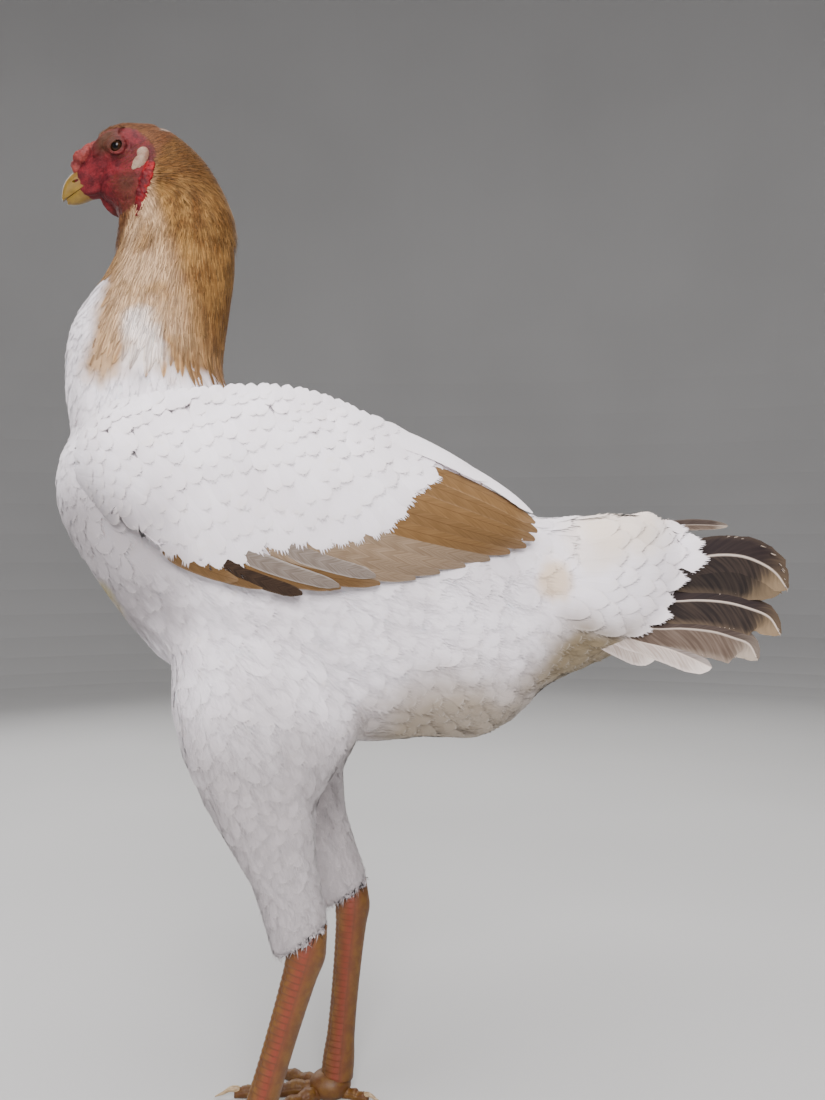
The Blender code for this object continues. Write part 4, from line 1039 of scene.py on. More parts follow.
# %% Lie table
# Place x and z in mm; heading in degrees below straight back; length, width and lift in mm; pointed 0 to 1.
LIE = (
    (-160, 672, 40, 10, 2.4, 1.0, 0.8),
    (-138, 640, 62, 14, 2.8, 1.2, 0.9),
    (-132, 600, 84, 20, 3.4, 1.5, 1.0),
    (-165, 610, 100, 17, 3.0, 1.4, 1.0),
    (-205, 600, 112, 12, 2.8, 1.2, 0.9),
    (-130, 560, 92, 30, 4.4, 1.8, 1.0),
    (-185, 560, 100, 26, 4.4, 1.7, 1.0),
    (-232, 560, 110, 18, 5.6, 1.6, 0.6),
    (-132, 520, 82, 38, 5.4, 2.0, 1.0),
    (-185, 520, 96, 34, 5.4, 2.0, 1.0),
    (-240, 515, 94, 22, 10.0, 1.6, 0.2),
    (-238, 465, 92, 24, 14.0, 1.6, 0.0),
    (-225, 400, 62, 26, 15.0, 1.6, 0.0),
    (-190, 340, 52, 26, 15.0, 1.7, 0.0),
    (-180, 430, 45, 26, 15.0, 1.7, 0.0),
    (-120, 470, 12, 28, 15.0, 1.9, 0.1),
    (-60, 475, 14, 30, 15.0, 1.9, 0.1),
    (10, 445, 16, 32, 16.0, 2.0, 0.1),
    (-110, 360, 34, 29, 16.0, 1.9, 0.0),
    (-40, 350, 28, 30, 16.0, 2.0, 0.0),
    (-110, 300, 50, 27, 14.0, 2.0, 0.0),
    (-20, 290, 30, 30, 15.0, 2.4, 0.0),
    (40, 290, 22, 30, 15.0, 2.6, 0.0),
    (40, 350, 24, 33, 16.0, 2.2, 0.0),
    (70, 400, 10, 36, 17.0, 2.2, 0.1),
    (80, 320, 20, 33, 14.0, 2.2, 0.0),
    (120, 410, -4, 36, 16.0, 2.2, 0.1),
    (120, 360, 14, 36, 16.0, 2.2, 0.1),
    (125, 325, 14, 30, 12.0, 2.0, 0.1),
    (165, 370, 8, 28, 13.0, 1.8, 0.1),
    (-130, 260, 66, 24, 12.0, 1.9, 0.0),
    (-60, 250, 74, 24, 12.0, 1.9, 0.0),
    (-105, 210, 74, 19, 9.5, 1.6, 0.0),
    (-90, 175, 76, 15, 8.0, 1.4, 0.0),
    (-78, 145, 80, 11, 6.0, 1.3, 0.1),
)
lie_places = np.array([row[:2] for row in LIE], float)
lie_turn = np.radians([row[2] for row in LIE])
lie_values = np.array([[math.cos(a), -math.sin(a), *row[3:]] for a, row in zip(lie_turn, LIE)])


def lie_at(points):
    """Heading (x and z), length, width, lift and point of the coat at places in metres."""
    flat = (np.asarray(points)[:, [0, 2]]) / MM
    flat[:, 0] += 0.97
    gaps = ((flat[:, None, :] - lie_places[None]) ** 2).sum(2) + 60.0
    weight = gaps**-2.2
    return weight @ lie_values / weight.sum(1)[:, None]


print("lie of the coat at the shoulder:", [round(v, 2) for v in lie_at([(-0.1, 0, 0.45)])[0]])

# %% [markdown]
# ## Laying feathers on a skin
# Each feather starts at a root on the skin and walks over it, step by step, along the lie. That keeps it
# on the body where a straight strip would stand off or cut in. Roots are strewn by throwing many darts and
# keeping those that lie far enough from the ones before, which spreads them evenly with no visible rows.
# A vane is a ring of four points repeated from root to tip: two edges, a raised middle and an underside.

# %% Feather helpers
PATCH = 0.003


class Skin:
    """A mesh that feathers are laid on: its tree, soft normals and an unwrap of its own shape."""

    def __init__(self, mesh, unwrap):
        self.mesh, self.unwrap = mesh, unwrap
        self.points, self.normals = corners(mesh)
        faces = [tuple(p.vertices) for p in mesh.polygons]
        self.tree = BVHTree.FromPolygons([Vector(p) for p in self.points], faces)
        self.face_normals = [Vector(self.normals[list(face)].mean(0)).normalized() for face in faces]

    def nearest(self, point):
        """The nearest place on the skin and the way out there."""
        spot, _, index, _ = self.tree.find_nearest(point)
        return spot, self.face_normals[index]

    def strewn(self, count, seed, wanted):
        """Random places on the skin, evenly by area, for which wanted(points) is true."""
        rng = np.random.default_rng(seed)
        self.mesh.calc_loop_triangles()
        corners_of = np.empty(len(self.mesh.loop_triangles) * 3, np.int32)
        self.mesh.loop_triangles.foreach_get("vertices", corners_of)
        a, b, c = (self.points[corners_of.reshape(-1, 3)[:, k]] for k in range(3))
        keep = wanted((a + b + c) / 3)
        a, b, c = a[keep], b[keep], c[keep]
        area = np.linalg.norm(np.cross(b - a, c - a), axis=1) / 2
        picks = rng.choice(len(area), count, p=area / area.sum())
        u, v = rng.random((2, count, 1))
        flip = (u + v) > 1
        u, v = np.where(flip, 1 - u, u), np.where(flip, 1 - v, v)
        return a[picks] + (b[picks] - a[picks]) * u + (c[picks] - a[picks]) * v


def spread_out(points, gaps):
    """The points that keep their own gap, in metres, from every point kept before them."""
    cell = float(np.max(gaps))
    grid, kept = {}, []
    keys = np.floor(points / cell).astype(int)
    near = [(i, j, k) for i in (-1, 0, 1) for j in (-1, 0, 1) for k in (-1, 0, 1)]
    for index, (point, gap, key) in enumerate(zip(points.tolist(), np.asarray(gaps).tolist(), keys.tolist())):
        limit = gap * gap
        taken = False
        for i, j, k in near:
            for other in grid.get((key[0] + i, key[1] + j, key[2] + k), ()):
                dx, dy, dz = other[0] - point[0], other[1] - point[1], other[2] - point[2]
                if dx * dx + dy * dy + dz * dz < limit:
                    taken = True
                    break
            if taken:
                break
        if not taken:
            grid.setdefault(tuple(key), []).append(point)
            kept.append(index)
    return np.array(kept)


def walk(skin, root, heading, length, shares):
    """Places, ways out and ways ahead along a feather that follows the skin from its root."""
    spot, up = skin.nearest(root)
    ahead = heading - up * heading.dot(up)
    if ahead.length < 1e-6:
        ahead = up.orthogonal()
    ahead.normalize()
    places, ups, aheads = [spot], [up], [ahead]
    for near, far in zip(shares, shares[1:]):
        spot, up = skin.nearest(places[-1] + ahead * length * (far - near))
        up = (up + ups[-1]).normalized()
        ahead = (ahead - up * ahead.dot(up)).normalized()
        places.append(spot)
        ups.append(up)
        aheads.append(ahead)
    return places, ups, aheads


def unit(vectors):
    """The vectors at length one."""
    return vectors / np.maximum(np.linalg.norm(vectors, axis=-1, keepdims=True), 1e-12)


def closed_mesh(name, points, faces, across, along, tint, patch, facing):
    """A mesh with its vane map, a patch for each vane on the skin's unwrap, its tints and its facing."""
    mesh = bpy.data.meshes.new(name)
    mesh.from_pydata(points, [], faces)
    order = faces.ravel()
    vane_map = mesh.uv_layers.new(name="vane")
    vane_map.data.foreach_set("uv", np.stack([across, along], 1)[order].astype(np.float32).ravel())
    baked = mesh.uv_layers.new(name="OFBake")
    spots = patch + (np.stack([across, along], 1) - 0.5) * PATCH
    baked.data.foreach_set("uv", spots[order].astype(np.float32).ravel())
    keep_values(mesh, "tint", tint)
    mesh.shade_smooth()
    mesh.normals_split_custom_set_from_vertices(facing.astype(np.float32))
    return mesh


def vane_mesh(name, spine, ahead, up, half, camber, thick, tint, patch, roll):
    """Closed vanes: spine, ahead and up are feathers x rows x 3, half their half widths, patch each root's place."""
    count, rows = half.shape
    side = unit(np.cross(ahead, up))
    out = side * half[..., None]
    dip = up * (half * camber)[..., None]
    rise = up * thick / 2
    points = np.stack([spine - out - dip, spine + rise, spine + out - dip, spine - rise], 2).reshape(-1, 3)
    nose = ahead * np.linspace(-0.05, roll, rows)[None, :, None]
    facing = np.stack([up - side * roll + nose, up + nose, up + side * roll + nose, -up], 2)
    base = (np.arange(count)[:, None] * rows + np.arange(rows - 1)[None]).reshape(-1, 1) * 4
    first = np.arange(count)[:, None] * rows * 4
    # Each quad starts at the corner that makes its diagonal lie over the one on the vane's other side.
    quads = [base + np.array([corner]) for corner in ((0, 1, 5, 4), (1, 2, 6, 5), (3, 7, 6, 2), (0, 4, 7, 3))]
    quads.append(first + np.array([[3, 2, 1, 0]]))
    quads.append(first + (rows - 1) * 4 + np.array([[0, 1, 2, 3]]))
    across = np.tile([0.0, 0.5, 1.0, 0.5], count * rows)
    share = np.tile(np.repeat(np.linspace(0, 1, rows), 4), count)
    return closed_mesh(
        name, points, np.vstack(quads), across, share, np.repeat(tint, rows * 4), np.repeat(
            patch, rows * 4, 0
        ), unit(facing).reshape(-1, 3)
    )


def spike_mesh(name, start, way, up, length, width, tint, patch, tip_from=0.0):
    """Thin closed barbs of four faces, from three points at the start to one at the tip."""
    count = len(start)
    side = unit(np.cross(way, up))
    half = (width / 2)[:, None]
    tip = start + way * length[:, None]
    points = np.stack(
        [start - side * half, start + up * half * 0.5, start + side * half, tip], 1
    ).reshape(-1, 3)
    facing = np.stack([up - side * 0.3, up + way * 0.1, up + side * 0.3, up + way * 0.15], 1)
    base = np.arange(count)[:, None] * 4
    faces = [base + np.array([corner]) for corner in ((0, 1, 3), (1, 2, 3), (2, 0, 3), (2, 1, 0))]
    across = np.tile([0.3, 0.5, 0.7, 0.5], count)
    share = np.tile([tip_from, tip_from, tip_from, 1.0], count)
    return closed_mesh(
        name, points, np.vstack(faces), across, share, np.repeat(tint, 4), np.repeat(patch, 4, 0),
        unit(facing).reshape(-1, 3)
    )


def show_vanes(name, mesh, material, slot, *stands_for):
    """A finished piece of coat."""
    made = linked(name, mesh)
    mesh.materials.clear()
    mesh.materials.append(material)
    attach(made, "root")
    if stands_for:
        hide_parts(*stands_for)
    print(name, sum(len(p.vertices) - 2 for p in mesh.polygons[:1]) * len(mesh.polygons), "triangles")
    return made


FLIP = np.array([1, -1, 1])

# Along a vane: its rows, and the half width at each of them for a blunt feather and for a pointed one.
ROWS = np.array([0, 0.2, 0.42, 0.62, 0.78, 0.89, 0.96, 1.0])
BLUNT = np.array([0.4, 0.8, 1.0, 1.0, 0.93, 0.76, 0.5, 0.14])
POINTED = np.array([0.6, 0.9, 1.0, 0.92, 0.72, 0.48, 0.26, 0.06])


def lay_coat(name, skin, roots, seed, material, slot, size=1.0, scatter=6.0, barbs=0, mirror=False, roll=0.12):
    """Lays one feather on each root by the lie table, each a little different, with loose barbs round its tip."""
    rng = np.random.default_rng(seed)
    lie = lie_at(roots)
    count = len(roots)
    spine, ups, aheads = (np.empty((count, len(ROWS), 3)) for _ in range(3))
    length = lie[:, 2] * MM * size * rng.uniform(0.86, 1.12, count)
    half = lie[:, 3] * MM / 2 * rng.uniform(0.88, 1.12, count) * size
    lift = lie[:, 4] * MM * rng.uniform(0.8, 1.25, count)
    turn = np.radians(rng.normal(0, scatter, count))
    for k in range(count):
        root = Vector(roots[k])
        _, up = skin.nearest(root)
        heading = Matrix.Rotation(turn[k], 3, up) @ Vector((lie[k, 0], 0, lie[k, 1]))
        spine[k], ups[k], aheads[k] = walk(skin, root, heading, length[k], ROWS)
    height = lift[:, None] * ROWS[None] ** 1.15 * 0.8 - (0.2 + 0.7 * (1 - ROWS[None]) ** 2) * MM
    if mirror:
        spine, ups, aheads = spine * FLIP, ups * FLIP, aheads * FLIP
    side = unit(np.cross(aheads, ups))
    leaned = unit(ups + side * rng.normal(0, 0.045, (count, 1, 1)))
    spine = spine + ups * height[..., None]
    shape = BLUNT + (POINTED - BLUNT) * np.clip(lie[:, 5], 0, 1)[:, None]
    shape = shape * rng.uniform(0.95, 1.04, (count, len(ROWS)))
    patches = skin.unwrap(roots)
    tint = rng.random(count)
    mesh = vane_mesh(name, spine, aheads, leaned, half[:, None] * shape, 0.12, 0.3 * MM, tint, patches, roll)
    show_vanes(name, mesh, material, slot)
    if barbs:
        turns = np.linspace(-1.35, 1.35, barbs)[None] + rng.normal(0, 0.06, (count, barbs))
        row = np.select([np.abs(turns) < 0.5, np.abs(turns) < 0.8, np.abs(turns) < 1.1], [6, 5, 4], 3)
        pick = np.arange(count)[:, None]
        off = np.sign(turns) * np.minimum(np.abs(np.sin(turns)), shape[pick, row] * 0.9) * half[:, None]
        start = spine[pick, row] + side[pick, row] * off[..., None] - ups[pick, row] * (0.12 * np.abs(off) + 0.0001)[
            ..., None
        ]
        fan = turns * 0.42
        way = aheads[pick, row] * np.cos(fan)[..., None] + side[pick, row] * np.sin(fan)[..., None]
        way = unit(way - ups[pick, row] * 0.05)
        reach = length[:, None] * rng.uniform(0.09, 0.19, (count, barbs))
        width = half[:, None] * rng.uniform(0.14, 0.2, (count, barbs))
        fringe = spike_mesh(
            name + "_barbs", start.reshape(-1, 3), way.reshape(-1, 3), ups[
                pick, row
            ].reshape(-1, 3), reach.ravel(), width.ravel(),
            np.repeat(tint, barbs), np.repeat(patches, barbs, 0), 0.8
        )
        show_vanes(name + "_barbs", fringe, material, slot)


def lay_tufts(
    name, skin, roots, seed, material, slot, length, width, stand, scatter, heading_of=None, above=0.0
):
    """Loose tufts on the skin: each stands off it by an angle in degrees and wanders from the lie by another."""
    rng = np.random.default_rng(seed)
    lie = lie_at(roots)
    count = len(roots)
    turn = np.radians(rng.normal(0, scatter, count))
    tip_up = np.radians(rng.uniform(0.4, 1.4, count) * stand)
    starts, ways, ups = (np.empty((count, 3)) for _ in range(3))
    for k in range(count):
        spot, up = skin.nearest(Vector(roots[k]))
        heading = Vector((lie[k, 0], 0, lie[k, 1])) if heading_of is None else heading_of(spot)
        ahead = heading - up * heading.dot(up)
        if ahead.length < 1e-6:
            ahead = up.orthogonal()
        ahead = Matrix.Rotation(turn[k], 3, up) @ ahead.normalized()
        way = ahead * math.cos(tip_up[k]) + up * math.sin(tip_up[k])
        starts[k], ways[k], ups[k] = spot + up * above, way, up
    lengths = length * rng.uniform(0.7, 1.25, count) if np.isscalar(length) else length * rng.uniform(
        0.75, 1.2, count
    )
    widths = width * rng.uniform(0.8, 1.2, count)
    mesh = spike_mesh(name, starts, ways, ups, lengths, widths, rng.random(count), skin.unwrap(roots))
    return show_vanes(name, mesh, material, slot)


print("feather helpers ready,", len(ROWS), "rows to a vane")

# %% [markdown]
# ## An unwrap for the coat
# The coat carries a second map for later baking, in which each vane is a tiny patch at its root's place on
# an unwrap of the skin. The body is cut in four: trunk, neck and two thighs, and each is rolled out like a
# tube, by the angle round its own axis and the distance along it.

# %% Unwrap


def unwrap_body(points):
    """Places on the body's unwrap: the trunk on the left, then the neck and the two thighs."""
    p = np.asarray(points)
    x, y, z = p[:, 0], p[:, 1], p[:, 2]
    trunk_u = (np.arctan2(y, z - 0.37) / math.tau + 0.5) * 0.98
    trunk = np.stack([0.01 + 0.44 * np.clip((x + 0.255) / 0.44, 0, 1), 0.01 + trunk_u], 1)
    neck_u = (np.arctan2(y, -(x + 0.18)) / math.tau + 0.5) * 0.22
    neck = np.stack([0.47 + neck_u, 0.01 + 0.98 * np.clip((z - 0.46) / 0.25, 0, 1)], 1)
    thigh_u = (np.arctan2(np.abs(y) - 0.046, x + 0.09) / math.tau + 0.5) * 0.13
    shelf = np.where(y < 0, 0.71, 0.86)
    thigh = np.stack([shelf + thigh_u, 0.01 + 0.98 * np.clip((z - 0.12) / 0.2, 0, 1)], 1)
    is_neck = (z > 0.5)[:, None]
    is_thigh = ((z < 0.275) & (x < -0.02))[:, None]
    return np.where(is_neck, neck, np.where(is_thigh, thigh, trunk))


hen = Skin(head.data, unwrap_body)
spots = unwrap_body(hen.points)
print("unwrap spans", spots.min(0).round(2), "to", spots.max(0).round(2))

# %% [markdown]
# ## Body feathers
# Trunk, breast, belly, thighs and stump carry broad white vanes, up to 36 mm long, set close so that several
# lie over each place. A fringe of thin barbs round each tip breaks its edge, and fine down over belly and
# thighs softens the outline. The hackle is long narrow pointed vanes under fine strands, and the crown,
# nape and throat carry thin tufts a few millimetres long. Places under the folded wing stay bare.

# %% Lay the body feathers
# The least gap between two roots of each kind, in metres.
STRAND_GAP, NAPE_GAP, BRISTLE_GAP, THROAT_GAP = 0.0019, 0.00078, 0.0015, 0.0009
DOWN_GAP, SMALL_COVERT_GAP = 0.00165, 0.0056


def under_wing(points):
    """Places on the trunk that the folded wing covers."""
    x, y, z = points[:, 0], np.abs(points[:, 1]), points[:, 2]
    return (y > 0.045) & (x > -0.2) & (x < 0.02) & (z > 0.398) & (z < 0.475)


def on_neck(points):
    return points[:, 2] > 0.532 + 0.012 * np.clip((-0.13 - points[:, 0]) / 0.11, 0, 1)


def golden(points):
    """Places whose feathers are gold: behind the hackle's front edge, or high on the neck."""
    x, z = points[:, 0], points[:, 2]
    return (x > -0.206 + 0.2 * (z - 0.555)) | (z > 0.583)


def coat_roots(skin, wanted, seed, tight, least=0.0022, darts=60000):
    """Roots spread by the size of the feathers there."""
    spots = skin.strewn(darts, seed, wanted)
    lie = lie_at(spots)
    gaps = np.maximum(np.sqrt(lie[:, 2] * lie[:, 3]) * MM * tight, least)
    return spots[spread_out(spots, gaps)]


def even_roots(skin, darts, seed, wanted, gap):
    """Roots that keep one gap, in metres."""
    spots = skin.strewn(darts, seed, wanted)
    return spots[spread_out(spots, np.full(len(spots), gap))]


white_body = lambda p: ~on_neck(p) & ~under_wing(p) & (p[:, 2] > 0.128)
roots = coat_roots(hen, white_body, 11, 0.37)
for word, part in (("left", roots[:, 1] < 0), ("right", roots[:, 1] >= 0)):
    lay_coat("body_feathers_" + word, hen, roots[part], 12, white_vane, "plumage", scatter=8.0, barbs=20)

lower_neck = lambda p: on_neck(p) & (p[:, 2] < 0.63) & ~is_bare(p)
roots = coat_roots(hen, lower_neck, 21, 0.33, 0.0018)
part = golden(roots)
lay_coat("hackle_feathers", hen, roots[part], 22, hackle_vane, "hackle", scatter=5.0, roll=0.3)
lay_coat("neck_front_feathers", hen, roots[~part], 23, white_vane, "plumage", scatter=5.0, barbs=14)
# Fine strands over the hackle draw its silky streaks.
strands = even_roots(hen, 30000, 24, lambda p: lower_neck(p) & golden(p), STRAND_GAP)
lay_tufts(
    "hackle_strands", hen, strands, 25, nape_tuft, "hackle", length=0.012, width=0.0008, stand=2.5, scatter=6,
    above=0.0010
)

# %% Nape, crown and cheeks
head_places = lambda p: (p[:, 2] > 0.612) & ~is_bare(p)
roots = even_roots(hen, 70000, 31, head_places, NAPE_GAP)


def back_from_bill(spot):
    """The lie on the head: away from the bill over the skull, then down the neck."""
    low = min(max((0.66 - spot.z) / 0.04, 0), 1)
    return (-FORWARD * (1 - low) + Vector((0.25, 0, -1)) * low) if spot.x > -0.23 else -FORWARD


long_back = np.clip((0.672 - roots[:, 2]) / 0.05, 0, 1)
lay_tufts(
    "nape_feathers", hen, roots, 32, nape_tuft, "hackle", length=0.0045 + 0.0065 * long_back, width=0.0011,
    stand=5, scatter=8, heading_of=back_from_bill
)

# %% Bristles of the face and throat
u_of = lambda p: to_head(p)[:, 0]
v_of = lambda p: to_head(p)[:, 2]
bristly = lambda p: is_bare(p) & (((v_of(p) < -15) & (u_of(p) < 16)) | ((u_of(p) < 2) & (v_of(p) < -6)))
roots = even_roots(hen, 6000, 41, bristly, BRISTLE_GAP)
lay_tufts(
    "throat_bristles", hen, roots, 42, face_bristle, "face", length=0.0034, width=0.0004, stand=12, scatter=20,
    heading_of=back_from_bill
)
# Below the face the bristles thicken into the first small feathers of the throat.
low_throat = lambda p: is_bare(p) & (p[:, 2] < 0.628) & (v_of(p) < -38)
roots = even_roots(hen, 9000, 43, low_throat, THROAT_GAP)
lay_tufts(
    "throat_feathers", hen, roots, 44, nape_tuft, "hackle", length=0.0075, width=0.0010, stand=7, scatter=12,
    heading_of=back_from_bill
)

# %% Down on belly, thighs and vent
downy = lambda p: (p[:, 2] < 0.38) & (p[:, 2] > 0.135) & ~under_wing(p)
roots = even_roots(hen, 90000, 51, downy, DOWN_GAP)
lay_tufts(
    "down", hen, roots, 52, down_tuft, "plumage", length=0.0075, width=0.0007, stand=4, scatter=14, above=0.0009
)

# %% [markdown]
# ## Wings
# A folded wing shows as a smooth oval: rows of rounded white coverts, each row over the next, and then the
# long tan secondaries, whose tips gather over the rump. The coverts could be strewn like the body's, but
# the real ones stand in rows, so they are set along curves that run from the wing's edge of greater coverts
# up to its leading edge. The wing's face is a formula from the same sizes as the solid wing.

# %% Wing face
WING = (
    (-221, 461, 443, 72),
    (-207, 485, 426, 84),
    (-188, 493, 408, 93),
    (-139, 499, 380, 101),
    (-90, 500.5, 369, 102),
    (-62, 494.5, 369.5, 99),
    (-34, 482, 372, 93),
    (8, 458, 380, 81),
    (45, 438, 391, 65),
    (74, 417, 404, 50),
)
WING_LAYERS = 5.5


def wing_face(x, z):
    """The outer face of the left wing's core, in mm."""
    top, bottom, out = values_at(WING, x)
    r = (z - (top + bottom) / 2) / max((top - bottom) / 2, 1)
    r = min(max(r, -1.25), 1.25)
    out -= (30.0 if r > 0 else 15.0) * abs(r) ** 2.2 * min(1, (top - bottom) / 60)
    return at(x, WING_LAYERS - out, z)


TAIL_RIDGE = ((88, 412), (118, 411), (150, 411), (183, 411), (210, 408), (232, 399), (249, 385), (262, 366))
TAIL_SPREAD = ((88, 0.30), (140, 0.22), (190, 0.27), (260, 0.40))


def tail_face(x, z):
    """The left side of the tail, which hangs from its ridge like a tent."""
    ridge, = values_at(TAIL_RIDGE, x)
    spread, = values_at(TAIL_SPREAD, x)
    return at(x, -1.0 - spread * max(ridge - z, 0), z)


def stump_face(x, z):
    """The left side of the tail with its stump, which the tail's coverts lie on."""
    top, widest, bottom, half = values_at(STUMP, x)
    r = (z - widest) / ((top if z > widest else bottom) - widest)
    stump = half * max(1 - min(abs(r), 1) ** 2.15, 0) ** (1 / 2.15)
    tent = -tail_face(x, z).y / MM
    gap = stump - tent - 1.2
    return at(x, -(tent + 1.2 + 0.5 * (gap + math.sqrt(gap * gap + 9))), z)


def over(face, a, b, height):
    """The point at a height over a face, and the way out there."""
    one = face(a + 1.5, b) - face(a - 1.5, b)
    other = face(a, b + 1.5) - face(a, b - 1.5)
    up = one.cross(other).normalized()
    if up.y > 0:
        up.negate()
    return face(a, b) + up * height * MM, up


COLUMNS = (-1.0, -0.55, -0.07, 0.0, 0.07, 0.55, 1.0)


def arc(root, tip, bend=0.0):
    """A path from root to tip, as rows of share, x and z, whose middle stands aside by the bend."""
    root, tip = Vector(root), Vector(tip)
    aside = Vector((root.y - tip.y, tip.x - root.x)).normalized()
    return [(t, *(root.lerp(tip, t) + aside * bend * 4 * t * (1 - t))) for t in (0, 0.25, 0.5, 0.75, 1)]


def through(*places):
    """A path through places given as x and z."""
    steps = [0.0]
    for near, far in zip(places, places[1:]):
        steps.append(steps[-1] + math.dist(near, far))
    return [(step / steps[-1], *place) for step, place in zip(steps, places)]


class Quills:
    """Gathers long feathers of many rows and columns into one mesh."""

    def __init__(self):
        self.points, self.faces, self.facing, self.barbs = [], [], [], []
        self.across, self.along, self.tint, self.patch = [], [], [], []

    def add(
        self, face, path, profile, widths, rise, tint, tilt=0.0, shaft=0.5, ragged=0.0, rows=22, seed=0,
        arrow=0.34, barbs=0, lean=0.0, loose=0.14
    ):
        """A feather along a path on a face: profile gives its half width and rise at shares of its length, in mm."""
        rng = np.random.default_rng(seed)
        lower, upper, ups = [], [], []
        for i in range(rows):
            t = 1 - (1 - i / (rows - 1)) ** 1.5
            share, climb = values_at(profile, t)
            middle = Vector(values_at(path, t))
            along = (Vector(values_at(path, min(t + 0.04, 1))) - Vector(values_at(path, max(t - 0.04, 0)))).normalized()
            aside = Vector((-along.y, along.x))
            width = (widths[0] + (widths[1] - widths[0]) * t) * share
            torn = ragged * max(0, t - 0.55) * 2.2
            for k, column in enumerate(COLUMNS):
                edge = abs(column) == 1
                reach = column * width / 2 * (1 - (rng.random() * torn if edge else 0)) * (1 - lean * np.sign(column))
                back = abs(column) ** 1.7 * width * arrow * min(1, max(0, t - 0.5) * 2)
                spot = middle + aside * reach - along * back
                height = rise[0] + (rise[1] - rise[0]) * climb - tilt * column / 2 * min(1, 3 * t)
                camber = -0.10 * width * column * column
                point, up = over(face, spot.x, spot.y, height + camber)
                point.y = min(point.y, -0.4 * MM)
                ridge = shaft * (1 - t) if column == 0 else 0
                lower.append(point)
                ups.append(tuple(up))
                upper.append(point + up * ((0.14 if edge else 0.3) + ridge) * MM)
        start = sum(len(p) for p in self.points)
        wide = len(COLUMNS)
        grid = np.array([tuple(p) for p in upper]).reshape(rows, wide, 3)
        side = np.repeat(unit(grid[:, -1:] - grid[:, :1]), wide, 1)
        ups = np.array(ups).reshape(rows, wide, 3)
        roll = np.array(COLUMNS)[None, :, None] * 0.12
        self.facing.append(np.vstack([-ups.reshape(-1, 3), unit(ups + side * roll).reshape(-1, 3)]))
        self.points.append(np.array([tuple(p) for p in lower + upper]))
        total = rows * wide
        faces = []
        for i in range(rows - 1):
            for j in range(wide - 1):
                a, b, c, d = i * wide + j, (i + 1) * wide + j, (i + 1) * wide + j + 1, i * wide + j + 1
                faces += [(c, b, a, d), (total + a, total + b, total + c, total + d)]
        rim = [i * wide for i in range(rows)] + [(rows - 1) * wide + j for j in range(1, wide)]
        rim += [i * wide + wide - 1 for i in range(rows - 2, -1, -1)] + list(range(wide - 2, 0, -1))
        for k, spot in enumerate(rim):
            faces.append((spot, total + spot, total + rim[k - 1], rim[k - 1]))
        self.faces.append(np.array(faces) + start)
        u = np.tile([(c + 1) / 2 for c in COLUMNS], rows * 2)
        v = np.tile(np.repeat(1 - (1 - np.linspace(0, 1, rows)) ** 1.5, wide), 2)
        self.across.append(u)
        self.along.append(v)
        self.tint.append(np.full(total * 2, tint))
        place = face(*path[0][1:])
        patch = [0.02 + 0.9 * (place.x + 0.25) / 0.53, 0.02 + 0.9 * (place.z - 0.3) / 0.22]
        self.patch.append(np.tile([patch], (total * 2, 1)))
        size = max(widths) * MM
        for k in range(barbs):
            turn = (2 * k / (barbs - 1) - 1) * 1.25 + rng.normal(0, 0.05)
            i = int(np.interp(abs(turn), (0, 0.7, 1.25), (rows - 2, rows * 0.74, rows * 0.5)))
            reach = min(abs(math.sin(turn)) * 0.98, 0.98)
            edge = grid[i, -1 if turn > 0 else 0]
            ahead = unit(grid[min(i + 1, rows - 1), wide // 2] - grid[i - 1, wide // 2])
            fan = turn * 0.34
            way = ahead * math.cos(fan) + side[i, 0] * math.sin(fan)
            start = grid[i, wide // 2] * (1 - reach) + edge * reach - ups[i, 0] * 0.0002
            length = size * loose * rng.uniform(0.8, 1.25)
            width = size * rng.uniform(0.05, 0.09)
            self.barbs.append((start, unit(way - ups[i, 0] * 0.04), ups[i, 0], [length, width, tint], patch + [0.0]))

    def mesh(self, name, mirror=False):
        """The gathered mesh, or its mirror image."""
        points, faces, facing = np.vstack(self.points), np.vstack(self.faces), np.vstack(self.facing)
        if mirror:
            points, facing, faces = points * FLIP, facing * FLIP, faces[:, ::-1]
        across, along, tint = (np.hstack(values) for values in (self.across, self.along, self.tint))
        return closed_mesh(name, points, faces, across, along, tint, np.vstack(self.patch), facing)

    def fringe(self, name, mirror=False):
        """The loose barbs round the tips of the gathered feathers, or their mirror image."""
        start, way, up, sizes, patch = (np.array([barb[k] for barb in self.barbs]) for k in range(5))
        flip = FLIP if mirror else 1
        return spike_mesh(
            name, start * flip, way * flip, up * flip, sizes[:, 0], sizes[:, 1], sizes[:, 2], patch[:, :2], 0.8
        )


def show_both(quills, name, material, slot):
    """The gathered feathers with their loose barbs, on both sides of the bird."""
    for word, mirror in HALVES:
        show_vanes(name + "_" + word, quills.mesh(name + "_" + word, mirror), material, slot)
        if quills.barbs:
            show_vanes(name + "_barbs_" + word, quills.fringe(name + "_barbs_" + word, mirror), material, slot)


print("wing and tail faces ready,", len(COLUMNS), "columns to a quill")

